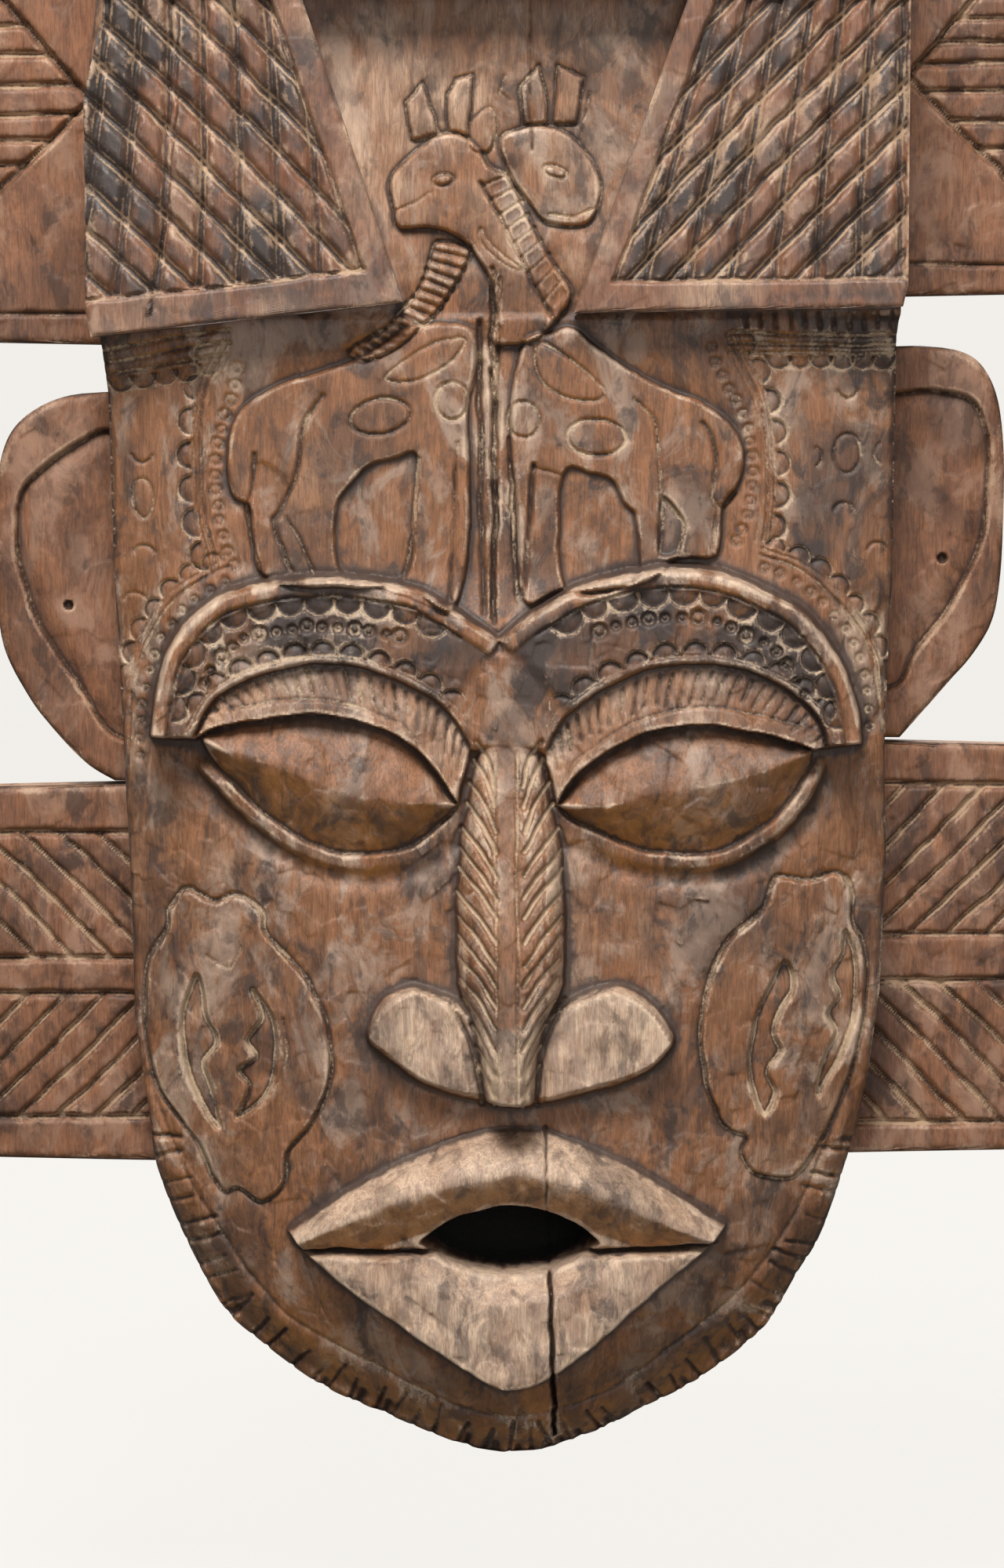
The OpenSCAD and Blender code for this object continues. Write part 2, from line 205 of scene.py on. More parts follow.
    def level(self, points, depth, soft=1.5):
        """Brings what lies inside an outline to a depth, a number or an array of the field's shape."""
        w, s = self.signed(points, soft + 1)
        k = ease(s / soft + 0.5)
        target = depth[w] if isinstance(depth, np.ndarray) else depth
        self.h[w] = self.h[w] * (1 - k) + target * k

    def paint(self, points, name, value, soft=4):
        """Brings one mask to a value inside an outline, blended over a soft edge."""
        w, s = self.signed(points, soft + 1)
        field = getattr(self, name)
        k = ease(s / soft + 0.5)
        field[w] = field[w] * (1 - k) + value * k

    def scallop(self, centre, towards, radius, deep):
        """One gouge: a half disc that gets deeper towards its round edge."""
        w = self.window(centre, radius + 1)
        x, z = self.X[w] - centre[0], self.Z[w] - centre[1]
        r = np.hypot(x, z) / radius
        ahead = x * towards[0] + z * towards[1]
        k = ease((1 - r) * radius / 0.5) * ease(ahead / 0.6 + 0.5)
        self.h[w] -= deep * k * (0.25 + 0.75 * r**2)
        rim = np.exp(-((r - 0.97) * radius / 0.5)**2) * ease(ahead / 0.6 + 0.5)
        self.dust[w] = np.maximum(self.dust[w], 0.75 * rim)

    def scallops(self, line, count, radius, deep, side=1):
        """A row of gouges evenly spaced along a line, none quite like the next."""
        at, t = along(line, count, ends=False)
        for c, d in zip(at, t):
            r = radius * RANDOM.uniform(0.88, 1.08)
            self.scallop(c, (-d[1] * side, d[0] * side), r, deep * RANDOM.uniform(0.8, 1.2))

    def punch(self, centre, radius, deep, pimple=0.5):
        """A stamped ring with a small mound left in its middle."""
        w = self.window(centre, radius * 2)
        r = np.hypot(self.X[w] - centre[0], self.Z[w] - centre[1])
        ring = np.exp(-((r - radius * 0.7) / (radius * 0.38))**2)
        self.h[w] -= deep * np.maximum(ring, (1 - pimple) * (r < radius * 0.7))
        self.dust[w] = np.maximum(self.dust[w], 0.5 * ring)

    def punches(self, line, count, radius, deep):
        """A row of stamped rings evenly spaced along a line."""
        at, _ = along(line, count, ends=False)
        for c in at:
            c = c + RANDOM.uniform(-0.4, 0.4, 2)
            self.punch(c, radius * RANDOM.uniform(0.85, 1.15), deep)

    def facets(self, size, high, mask=None):
        """Flat chisel facets: each cell of a jittered grid tilts its own way."""
        u, v = self.X / size, self.Z / (size * 1.35)
        iu, iv = np.floor(u).astype(int), np.floor(v).astype(int)
        n = 96
        jx, jz, sx, sz, lift = RANDOM.random((5, n, n))
        best = np.full(u.shape, 9.0)
        out = np.zeros(u.shape)
        for a in (-1, 0, 1):
            for b in (-1, 0, 1):
                m, k = (iu + a) % n, (iv + b) % n
                dx, dz = u - (iu + a + jx[m, k]), v - (iv + b + jz[m, k])
                r = dx * dx + dz * dz
                near = r < best
                best = np.where(near, r, best)
                plane = (sx[m, k] - 0.5) * dx * 2.2 + (sz[m, k] - 0.5) * dz * 2.2 - r * 0.5 + lift[m, k] * 0.3
                out = np.where(near, plane, out)
        out *= high
        self.h += out if mask is None else out * mask

    def soften(self):
        """Quarter, half, quarter weights along each direction, which takes the jags off the grid."""
        for axis in (0, 1):
            before, after = np.roll(self.h, 1, axis), np.roll(self.h, -1, axis)
            self.h = self.h * 0.5 + (before + after) * 0.25

    def at(self, x, z, name="h"):
        """Bilinear reading at any points."""
        f = getattr(self, name)
        u = np.clip((x - self.x[0]) / CELL, 0, len(self.x) - 1.001)
        v = np.clip((z - self.z[0]) / CELL, 0, len(self.z) - 1.001)
        i, j = u.astype(int), v.astype(int)
        a, b = u - i, v - j
        top = f[j, i] * (1 - a) + f[j, i + 1] * a
        low = f[j + 1, i] * (1 - a) + f[j + 1, i + 1] * a
        return top * (1 - b) + low * b


def blurred(f, n):
    """Box blur of half width n cells, run twice along each direction."""
    n = max(int(n), 0)
    if n == 0:
        return f
    for _ in range(2):
        for axis in (0, 1):
            pad = [(0, 0), (0, 0)]
            pad[axis] = (n + 1, n)
            c = np.cumsum(np.pad(f, pad, mode="edge"), axis=axis)
            a = np.take(c, range(2 * n + 1, c.shape[axis]), axis=axis)
            b = np.take(c, range(0, c.shape[axis] - 2 * n - 1), axis=axis)
            f = (a - b) / (2 * n + 1)
    return f


def hollows_and_edges(field):
    """Cavity and edge masks, from how far each cell lies under or over its surroundings blurred at three
    sizes. The cavity mask is painted shade in the hollows, like ambient occlusion, with grime there too."""
    fine, middle, broad = (blurred(field.h, reach / CELL) - field.h for reach in (1.3, 3.5, 10))
    hollow = np.clip(fine * 1.3, 0, 1) * 0.6 + np.clip(middle * 0.4, 0, 1) * 0.5
    # painted shade and grime: the further a cell lies under its surroundings, the darker it is painted
    field.cavity = np.clip(hollow + np.clip(broad * 0.06, 0, 1) * 0.45, 0, 1)
    sharp = np.clip(-fine * 1.8, 0, 1) * 0.65 + np.clip(-middle * 0.15, 0, 1) * 0.35
    field.edge = np.clip(sharp * (0.35 + 0.95 * field.patchy), 0, 1)


# ---------------------------------------------------------------- meshes

def spans(outline, z):
    """Leftmost and rightmost x of a closed outline at each height."""
    p = np.array(outline, float)
    left, right = np.full(z.shape, 1e9), np.full(z.shape, -1e9)
    for a, b in zip(p, np.roll(p, -1, 0)):
        lo, hi = min(a[1], b[1]), max(a[1], b[1])
        if hi - lo < 1e-9:
            continue
        m = (z >= lo) & (z <= hi)
        x = a[0] + (b[0] - a[0]) * (z - a[1]) / (b[1] - a[1])
        left = np.where(m, np.minimum(left, x), left)
        right = np.where(m, np.maximum(right, x), right)
    return left, right


def make_carved(name, outline, field, spacing, back, body, nodes, limit=None, wobble=0.0,
                low=None, high=None):
    """A closed solid over an outline. The front is a grid whose columns share out each row's width and
    whose depth comes from the carving field, the back is a coarser grid at back(x, z), and the two rims
    are joined by a wall with three rings. With low or high it is the part over or under that height, and
    its cut face fits the next part point for point."""
    p = np.array(outline, float)
    cuts = [v for v in (low, high) if v is not None]
    low = p[:, 1].min() + 0.05 if low is None else low
    high = p[:, 1].max() - 0.05 if high is None else high
    width = p[:, 0].max() - p[:, 0].min()
    k = 4
    rows = int((high - low) / spacing / k) * k + 1
    cols = int(width / spacing / k) * k + 1
    z = np.linspace(low, high, rows)
    left, right = spans(outline, z)
    u = np.linspace(0, 1, cols)[None, :]
    X = left[:, None] * (1 - u) + right[:, None] * u
    Z = np.repeat(z[:, None], cols, 1)
    H = field.at(X, Z)
    front = np.stack([X, -H, Z], -1).reshape(-1, 3)
    bx, bz = X[::k, ::k], Z[::k, ::k]
    rear = np.stack([bx, -back(bx, bz), bz], -1).reshape(-1, 3)
    rear_rows, rear_cols = bx.shape

    def rim(r, c):
        """Indices round the edge of a grid of r rows and c columns."""
        i = np.arange(r * c).reshape(r, c)
        return np.r_[i[0, :-1], i[:-1, -1], i[-1, :0:-1], i[:0:-1, 0]]

    f, b = rim(rows, cols), rim(rear_rows, rear_cols)
    n = len(f)
    mid = np.round(np.arange(n) / k).astype(int) % len(b)
    top, foot = front[f], rear[b[mid]]
    straight = np.stack([top[:, 0], foot[:, 1], top[:, 2]], 1)
    inward = p.mean(0) - top[:, [0, 2]]
    inward /= np.maximum(np.hypot(*inward.T), 1e-6)[:, None]
    phase = top[:, 0] + top[:, 2]
    at_cut = np.any([np.abs(top[:, 2] - v) < 0.01 for v in cuts], axis=0) if cuts else np.zeros(n, bool)
    rings = []
    for t in (0.3, 0.6, 0.85):
        ring = top * (1 - t) + straight * t
        rough = wobble * (0.5 + 0.3 * np.sin(phase / 7 + t * 9) + 0.2 * np.sin(phase / 2.3 + t * 4)) * t
        ring[:, [0, 2]] += inward * np.where(at_cut, 0, rough)[:, None]
        rings.append(ring)
    points = np.vstack([front] + rings + [rear])
    i = np.arange(rows * cols).reshape(rows, cols)
    quads = [np.stack([i[:-1, :-1], i[:-1, 1:], i[1:, 1:], i[1:, :-1]], -1).reshape(-1, 4)]
    base = len(front)
    loops = [f, base + np.arange(n), base + n + np.arange(n), base + 2 * n + np.arange(n)]
    for a, c in zip(loops[:-1], loops[1:]):
        quads.append(np.stack([a, c, np.roll(c, -1), np.roll(a, -1)], 1))
    j = np.arange(rear_rows * rear_cols).reshape(rear_rows, rear_cols) + base + 3 * n
    quads.append(np.stack([j[:-1, :-1], j[1:, :-1], j[1:, 1:], j[:-1, 1:]], -1).reshape(-1, 4))
    last, rear_loop = loops[-1], b[mid] + base + 3 * n
    following = np.roll(rear_loop, -1)
    same = rear_loop == following
    quads.append(np.stack([last, rear_loop, following, np.roll(last, -1)], 1)[~same])
    triangles = np.stack([last, rear_loop, np.roll(last, -1)], 1)[same]
    quads = np.vstack(quads)
    mesh = bpy.data.meshes.new(name)
    total = len(quads) * 4 + len(triangles) * 3
    mesh.vertices.add(len(points))
    mesh.vertices.foreach_set("co", (points * MM).ravel())
    mesh.loops.add(total)
    mesh.loops.foreach_set("vertex_index", np.r_[quads.ravel(), triangles.ravel()])
    mesh.polygons.add(len(quads) + len(triangles))
    starts = np.r_[np.arange(len(quads)) * 4, len(quads) * 4 + np.arange(len(triangles)) * 3]
    mesh.polygons.foreach_set("loop_start", starts)
    mesh.update(calc_edges=True)
    mesh.validate()
    obj = bpy.data.objects.new(name, mesh)
    bpy.context.scene.collection.objects.link(obj)
    count = len(quads) * 2 + len(triangles)
    if limit and count > limit:
        fewer = obj.modifiers.new("fewer", "DECIMATE")
        fewer.ratio = limit / count
        if cuts:
            free = obj.vertex_groups.new(name="free")
            loose = np.all([np.abs(points[:, 2] - v) > 0.01 for v in cuts], axis=0)
            free.add(np.flatnonzero(loose).tolist(), 1.0, "REPLACE")
            fewer.vertex_group = "free"
        bpy.context.view_layer.update()
        graph = bpy.context.evaluated_depsgraph_get()
        small = bpy.data.meshes.new_from_object(obj.evaluated_get(graph))
        obj.modifiers.clear()
        obj.data = small
        bpy.data.meshes.remove(mesh)
        small.name = name
        mesh = small
        obj.vertex_groups.clear()
    finish_mesh(obj, field)
    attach(obj, body)
    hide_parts(*nodes)
    return obj


def finish_mesh(obj, field):
    """Smooth shading broken at steep edges, and the carving masks as a colour attribute: red is dust in
    cuts, green worn edges, blue painted shade with grime in the hollows, alpha the stain, which also
    carries painted shade."""
    mesh = obj.data
    mesh.polygons.foreach_set("use_smooth", np.ones(len(mesh.polygons), bool))
    mesh.set_sharp_from_angle(angle=math.radians(50))
    co = np.empty(len(mesh.vertices) * 3, np.float32)
    mesh.vertices.foreach_get("co", co)
    co = co.reshape(-1, 3) / MM
    x, z = co[:, 0], co[:, 2]
    front = -co[:, 1] > field.at(x, z) - 1.5
    masks = np.zeros((len(co), 4), np.float32)
    for i, name in enumerate(("dust", "edge", "cavity", "tone")):
        value = field.at(x, z, name)
        if name == "edge":
            value = np.clip(value + field.at(x, z, "wear"), 0, 1)
        masks[:, i] = np.where(front, value, 0.0)
    layer = mesh.attributes.new("carve", "FLOAT_COLOR", "POINT")
    layer.data.foreach_set("color", masks.ravel())


def flat_back(depth=WALL):
    """The same depth everywhere behind a piece."""
    return lambda x, z: np.full(x.shape, depth)


# ---------------------------------------------------------------- outlines, in mm (x, z)

CHIN = smooth([(-137, -128), (-134.5, -151), (-125, -178), (-109.5, -208), (-95, -221.5), (-82, -232),
               (-67, -241.5), (-46.5, -250), (-28.5, -257), (-9, -263), (5, -264), (20, -262), (40.5, -255),
               (54.5, -248), (68, -242), (80.5, -234.5), (103, -216), (115.5, -194.5), (124, -180.5),
               (131, -160), (138.5, -134)], 4)
JAW = smooth([(-136, -118), (-129, -140), (-120, -159), (-104, -185), (-86, -207), (-66, -220.5),
              (-46.5, -230), (-28.5, -239), (-9, -246), (5, -248), (20, -245), (35.5, -241), (50.5, -233),
              (72, -217.5), (92, -200.5), (107, -181.5), (118, -162), (127, -140), (135, -118)], 4)
SIDES_RIGHT = [(142, -112), (146, -81), (148, -30), (147, 12), (149, 72), (150, 170), (151, 178), (151, 326)]
SIDES_LEFT = [(-149, 326), (-157, 259), (-157, 180), (-153, 172), (-150, 150), (-148, 72), (-145, 2),
              (-143, -40), (-142, -91), (-140, -107)]
BLOCK = np.vstack([CHIN, SIDES_RIGHT, SIDES_LEFT])
LEFT_PANEL = [(-154, 170), (-37, 183), (-75, 297.5), (-147, 297.5), (-156, 259), (-156, 180)]
RIGHT_PANEL = [(27, 179), (150, 181), (152, 190), (152, 297.5), (70, 297.5)]

BROW_LEFT = smooth([(-1, 56), (-20, 69), (-35, 76), (-64, 80), (-88, 78), (-106, 73), (-120, 62), (-128, 49),
                    (-132, 32), (-134, 19)])
BROW_LEFT_LOW = smooth([(-12, 16), (-18, 26), (-30, 36), (-50, 44.5), (-69, 47), (-88, 43.5), (-103, 37.5),
                        (-111, 30), (-117, 18)])
BROW_RIGHT = smooth([(-1, 56), (14, 68), (34, 78), (57, 83), (80, 82), (100, 75), (116, 65), (129, 47),
                     (135, 30), (137, 16)])
BROW_RIGHT_LOW = smooth([(16, 14), (24, 27), (40, 38), (57, 45), (75, 47), (95, 43.5), (111, 34.5), (120, 24),
                         (123, 15)])
LID_LEFT = smooth([(-115, 19), (-108, 22.5), (-93, 25.5), (-80, 27.5), (-66, 27.5), (-50, 23.5), (-35, 16.5),
                   (-25, 6), (-18, -4.5), (-17, -7)])
LEDGE_LEFT = smooth([(-115, 19), (-108, 7), (-92, -9), (-74, -21.5), (-54, -26.5), (-35, -23), (-21, -12.5),
                     (-17, -7)])
CREASE_LEFT = smooth([(-112, 17), (-100, 12.5), (-86, 8.5), (-74, 4), (-57, -2.5), (-40, -4.5), (-30, -5.5),
                      (-17, -7)])
LID_RIGHT = smooth([(21, -7), (26, 2), (34, 9), (46, 17), (62, 22.5), (80, 23.5), (96, 20.5), (111, 16.5),
                    (118, 14)])
LEDGE_RIGHT = smooth([(21, -7), (26, -12), (40, -19.5), (58, -25.5), (80, -25.5), (96, -18.5), (109, -7),
                      (116, 5), (118, 14)])
CREASE_RIGHT = smooth([(21, -7), (30, -6.5), (42, -6), (55, -2), (70, 0.5), (85, 3), (100, 7), (116, 13)])
LIP_TOP = smooth([(-82, -173), (-62, -158), (-40, -145), (-15, -134), (2, -131), (20, -133), (45, -144),
                  (66, -157), (86, -171)])
LIP_RIDGE = smooth([(-79, -176), (-58, -166), (-37, -156), (-1, -147), (17, -148), (40, -156), (62, -167),
                    (80, -175)])
LIP_V = smooth([(-75, -181), (-60, -193), (-37, -209), (-19, -221), (-4, -230), (4, -232), (17, -228),
                (34, -216), (58, -195), (79, -179)])
MOUTH = np.vstack([arc((3, -210), 49, 134, 46), arc((3, -134), 54, -50.5, -129.5)])


def beside(line, gap):
    """The line moved sideways, to its left when gap is positive."""
    at, t = along(line, len(line))
    return at + gap * np.stack([-t[:, 1], t[:, 0]], 1)


def closed_between(a, b):
    """The closed outline that runs along one line and back along the other."""
    return np.vstack([a, b[::-1]])


def same_way(line, other):
    """The line, turned round if it runs against the other."""
    return line if np.hypot(*(line[0] - other[0])) < np.hypot(*(line[-1] - other[0])) else line[::-1]


# ---------------------------------------------------------------- the carved block

def spread(f, line, reach=70.0):
    """Distance to a line over the whole field, and the reach itself beyond the window round the line."""
    w, d = f.gap(line, reach)
    out = np.full(f.h.shape, float(reach))
    out[w] = d
    return out


def face_ground(f):
    """The large forms: a face that falls away towards the jaw and the sides, a bevel outside the jaw
    line, and a flatter forehead and crown above."""
    X, Z = f.X, f.Z
    side_r, side_l = np.array(SIDES_RIGHT[:6]), np.array(SIDES_LEFT[4:])
    edge_line = np.vstack([side_l, JAW, side_r])
    d = spread(f, edge_line, 400)
    face = np.vstack([[(-150, 400)], side_l, JAW, side_r, [(150, 400)]])
    w = (slice(0, f.h.shape[0]), slice(0, f.h.shape[1]))
    d = np.where(f.inside(face, w), d, -d)
    edge = 41 + 9 * np.exp(-((X - 4) / 45)**2) * ease((-170 - Z) / 60)
    low = edge + 21 * (1 - np.exp(-np.maximum(d, 0) / 38))
    low -= 9 * ease(-d / 14) + 3 * ease((-d - 8) / 8)
    high = 45 + 9 * (1 - np.exp(-np.maximum(150 - np.abs(X), 0) / 24))
    f.h = low + (high - low) * ease((Z - 55) / 30)
    f.h = np.where(Z > 176, 52 + (f.h - 52) * ease((180 - Z) / 4), f.h)


def eye(f, lid, ledge, crease, brow_low, centre):
    """A ribbed band that leans out to the lid rim, and a ball of two facets that meet in a crease."""
    brow_low = same_way(brow_low, lid)
    to_brow, to_lid, to_ledge, to_crease = (spread(f, v) for v in (brow_low, lid, ledge, crease))
    band = closed_between(brow_low, lid)
    f.level(band, 64.5 + 4.5 * to_brow / (to_brow + to_lid + 0.1), 1.4)
    f.paint(band, "tone", 0.42, 2)
    a, _ = along(brow_low, 27)
    b, _ = along(lid, 27)
    for p, q in zip(a[1:-1], b[1:-1]):
        q = q + RANDOM.uniform(-0.9, 0.9, 2)
        reach = RANDOM.uniform(0.50, 0.66)
        f.cut([p + (q - p) * 0.12, p + (q - p) * reach], RANDOM.uniform(1.7, 2.6),
              RANDOM.uniform(1.0, 1.7), 0.5)
    f.cut(lid + (b[13] - a[13]) * -0.30, 1.5, 1.0, 0.5)
    f.lift(closed_between(lid, lid + (b[13] - a[13]) * -0.28), 0.9, 1.4)
    ball = closed_between(lid, ledge)
    w, s = f.signed(ball, 3)
    high = 61 + 10.5 * np.sqrt(np.clip(1 - ((f.X - centre) / 54)**2, 0, 1))
    above = f.V > np.interp(f.U, *(crease[np.argsort(crease[:, 0])].T))
    up, down = to_crease / (to_crease + to_lid + 0.1), to_crease / (to_crease + to_ledge + 0.1)
    shape = high - np.where(above, (high - 60.0) * up**1.6, (high - 58.0) * down**1.25)
    marks = 0.9 * (f.ripple(9) - 0.5) * np.minimum(depth_within(f, w, s) / 4, 1)
    k = ease(s / 1.2 + 0.5)
    f.h[w] = f.h[w] * (1 - k) + (shape + marks)[w] * k
    f.cut(np.vstack([lid, ledge[::-1]]), 1.8, 1.2, 0.3, closed=True)
    near = np.exp(-(to_crease / 0.9)**2)
    f.wear = np.maximum(f.wear, 0.5 * near * f.patchy * (depth_within(f, w, s) > 3))


def depth_within(f, w, s):
    """Distance inside an outline over the whole field, 0 outside it."""
    out = np.zeros(f.h.shape)
    out[w] = np.maximum(s, 0)
    return out


def eyes(f):
    """A ledge under each eye, with a soft hollow below it, and then the eyes themselves."""
    for lid, ledge in ((LID_LEFT, LEDGE_LEFT), (LID_RIGHT, LEDGE_RIGHT)):
        ring = closed_between(lid, ledge)
        w, s = f.signed(ring, 16)
        below = ease((12 - f.Z[w]) / 12)
        shelf = ease((s + 7.5) / 3.5) * below
        f.h[w] = f.h[w] * (1 - shelf) + np.maximum(f.h[w], 61.8 + 0.12 * s) * shelf
        f.h[w] -= 1.8 * np.exp(-((s + 10) / 3.5)**2) * below
    eye(f, LID_LEFT, LEDGE_LEFT, CREASE_LEFT, BROW_LEFT_LOW, -64)
    eye(f, LID_RIGHT, LEDGE_RIGHT, CREASE_RIGHT, BROW_RIGHT_LOW, 68)


def brow(f, ridge, low, side):
    """A thick arched brow: a worn outer ridge, then scallops, rings and scallops down to the edge."""
    shape = closed_between(ridge, low)
    f.level(shape, 70.0, 3.0)
    f.paint(shape, "tone", 0.92, 4)
    strip = closed_between(ridge, beside(ridge, 6.6 * side))
    w, s = f.signed(strip, 3)
    f.h[w] += 1.3 * ease(s / 2.2 + 0.4)
    f.tone[w] += (0.62 - f.tone[w]) * ease(s / 1.5 + 0.5)
    w, d = f.gap(beside(ridge, 1.6 * side), 7)
    top = ease((f.Z[w] - 44) / 26)
    bare = top * ease(1.5 - d / 2.6) * ease(f.patchy[w] * 3.2 - 0.7)
    f.tone[w] = f.tone[w] * (1 - bare) + 0.15 * bare
    w, d = f.gap(ridge, 10)
    f.h[w] -= 1.2 * np.exp(-(d / 1.6)**2)
    f.cut(beside(ridge, 7.4 * side)[5:], 1.7, 1.4, 0.5)
    f.scallops(beside(ridge, 8.4 * side)[8:-3], 12, 6.1, 2.9, side)
    middle = along(beside(ridge, 18.4 * side)[13:-9], 15, False)[0]
    for i, c in enumerate(middle):
        c = c + RANDOM.uniform(-0.6, 0.6, 2)
        f.punch(c, (2.8, 1.7, 2.0)[i % 3] * RANDOM.uniform(0.9, 1.1), 2.2)
    f.scallops(beside(low, -4.4 * side)[6:-4], 11, 5.0, 2.9, -side)
    f.cut(beside(low, -3.7 * side)[4:-2], 1.6, 1.5, 0.6)


def brows(f):
    """Both brows, the plate between them, and the bands of marks outside them."""
    brow(f, BROW_LEFT, BROW_LEFT_LOW, 1)
    brow(f, BROW_RIGHT, BROW_RIGHT_LOW, -1)
    # the plate between the brows, a little folded along its middle
    plate = [(-13, 15), (-20, 30), (-9, 48), (-1, 53), (9, 49), (24, 30), (17, 14)]
    f.level(plate, 69.5 - 0.06 * np.abs(f.X - 1), 5)
    f.paint(plate, "tone", 0.66, 4)
    # outer bands of dots, a line and scallops
    left = smooth([(-104, 83), (-121, 74), (-134, 58), (-140, 42), (-143, 24), (-144, 7)])
    right = smooth([(98, 88), (114, 82), (129, 69), (139, 55), (144, 39), (146, 19)])
    for line, side in ((left, 1), (right, -1)):
        f.punches(beside(line, 4.6 * side), 13, 1.9, 1.0)
        f.cut(line, 2.0, 1.4, 0.6)
        f.cut(beside(line, -2.6 * side), 1.8, 1.2, 0.5)
        f.scallops(beside(line, -3.6 * side), 10, 5.0, 1.9, -side)


def nose(f):
    """A tapering column that swells forward to the tip, with a wing on each side of it."""
    X, Z = f.U, f.V
    middle = np.interp(Z, [-122, -99, -75, -20, 16], [3, 2.6, 3.4, 3.3, 2.2])
    half = np.interp(Z, [-124, -112, -99, -86, -75, -45, -20, 5, 20],
                     [10.5, 11.5, 13, 17, 21, 22, 20, 15, 12.5])
    top = np.interp(Z, [-124, -119, -108, -60, -20, 16, 24], [87, 90, 91, 86, 78, 69, 65])
    t = np.abs(X - middle) / half
    column = 50 + (top - 50) * np.sqrt(np.clip(1 - t**3.4, 0, 1))
    column = np.where((t < 1) & (Z < 20), column, 0)
    bottom = smooth([(-54, -97), (-45, -105), (-29, -116), (-8, -122), (12, -123), (33, -119), (54, -112),
                     (67, -100)])
    over = Z - np.interp(X, bottom[:, 0], bottom[:, 1])
    under = ease((over + 0.5) / 6.0)
    body = column
    left = [(-53, -98), (-50, -86), (-42, -78), (-33, -75), (-22, -78), (-10, -84), (3, -90), (3, -124),
            (-8, -123), (-29, -117), (-45, -106)]
    right = [(67, -101), (63, -88), (54, -79), (43, -75), (30, -78), (17, -84), (3, -90), (3, -124),
             (12, -124), (33, -120), (54, -113)]
    for wing in (left, right):
        w, s = f.signed(smooth(wing, 6, True), 2)
        r = np.clip(s / 21, 0, 1)
        swell = np.zeros(f.h.shape)
        swell[w] = np.where(s > 0, 52 + 33 * np.sqrt(np.clip(1 - (1 - r)**2.2, 0, 1)), 0)
        body = np.maximum(body, swell + np.where(swell > 0, 2.4 * (f.ripple(11) - 0.5), 0))
        f.paint(wing, "tone", 0.20, 6)
    # painted shade: the tone darkens towards the bottom of the nose and its wings
    low = (X > -56) & (X < 70) & (over > -1)
    f.tone = np.where(low, f.tone + (0.56 - f.tone) * (1 - ease((over - 2) / 5)), f.tone)
    w = (X > -58) & (X < 72) & (Z > -130) & (Z < 20)
    f.h = np.where(w, np.maximum(f.h, f.h + (body - f.h) * under), f.h)
    for line in (smooth([(-8, -122), (-9, -110), (-12, -97), (-19, -82)]),
                 smooth([(13.5, -122), (14, -110), (16.5, -97), (24, -82)])):
        f.cut(line, 3.4, 2.6, 0.5)
    for k in range(16):
        z = 10 - k * 8.3 + RANDOM.uniform(-0.9, 0.9)
        m = np.interp(z, [-122, -99, -20, 16], [3, 2.6, 3.3, 2.2])
        h = np.interp(z + 6, [-124, -99, -80, -45, -20, 16], [11, 12.5, 19, 21, 19.5, 13])
        for side in (-1, 1):
            line = smooth([(m + side * h * 0.95, z + 8), (m + side * h * 0.6, z + 1),
                           (m + side * 5.4, z - 9)], 5)
            f.cut(line, 3.6, 2.1, 0.2)
            f.cut(line, 1.8, 0.4, 1.25)
    for x in (-2.4, 5.8):
        f.cut([(x, 14), (x - 0.4, -30), (x + 0.2, -60), (x + 0.3, -119)], 1.7, 1.5, 0.8)


def lips(f):
    """Two lips that rise to the middle of the mouth. The upper one has two planes that meet in a ridge,
    the lower one a single plane that falls to its pointed foot."""
    X, Z = f.U, f.V
    crown = 61 + 17 * np.clip(1 - ((X - 3) / 87)**2, 0, 1)**0.75
    seam = np.array([(-77, -179), (-48, -178), (-24, -169), (3, -161), (30, -169), (54, -178), (80, -177)])
    to_ridge, to_top, to_v = (spread(f, v) for v in (LIP_RIDGE, LIP_TOP, LIP_V))
    ridge = np.interp(X, LIP_RIDGE[:, 0], LIP_RIDGE[:, 1])
    above = Z > ridge
    up = to_ridge / (to_ridge + to_top + 0.1)
    down = np.clip((ridge - Z) / np.maximum(ridge - np.interp(X, *seam.T), 2), 0, 1)
    shape = crown - np.where(above, (crown - 59) * up**1.9, 11 * down**1.3 * np.clip((crown - 60) / 12, 0, 1))
    shape = shape + 1.1 * (f.ripple(8) - 0.5)
    upper = np.vstack([LIP_TOP, [(80, -177), (38, -178.5), (3, -178.5), (-31, -178.5), (-77, -179)]])
    f.level(upper, shape, 1.8)
    straight = np.array([(-77, -180.5), (-40, -180), (3, -180), (40, -180), (80, -178.5)])
    lower = np.vstack([straight, LIP_V[::-1]])
    shape = crown - 2.0 - 0.16 * to_v - 2.5 * np.exp(-to_v / 2.2) + 1.2 * (f.ripple(10) - 0.5)
    f.level(lower, shape, 1.6)
    lip = np.vstack([LIP_TOP, LIP_V[::-1]])
    f.paint(lip, "tone", 0.24, 2)
    f.cut([(-79, -179.4), (-50, -179.4), (-42, -179.2)], 1.6, 2.4, 0.2)
    f.cut([(83, -177.8), (56, -178.8), (46, -178.6)], 1.6, 2.4, 0.2)
    # the open mouth, with a soft dish round its lower side
    w, s = f.signed(MOUTH, 14)
    f.h[w] -= 7.0 * ease(s / 11 + 1.0) * ease((-176 - f.Z[w]) / 6)
    pit = ease(s / 2.6 + 0.25)
    f.h[w] = f.h[w] * (1 - pit) + MOUTH_FLOOR * pit
    # painted shade: the floor of the mouth pit is painted black
    black = ease(s / 1.6 + 0.3)
    f.tone[w] = np.maximum(f.tone[w] * (1 - black), 1.6 * black)
    f.dust[w] *= 1 - black


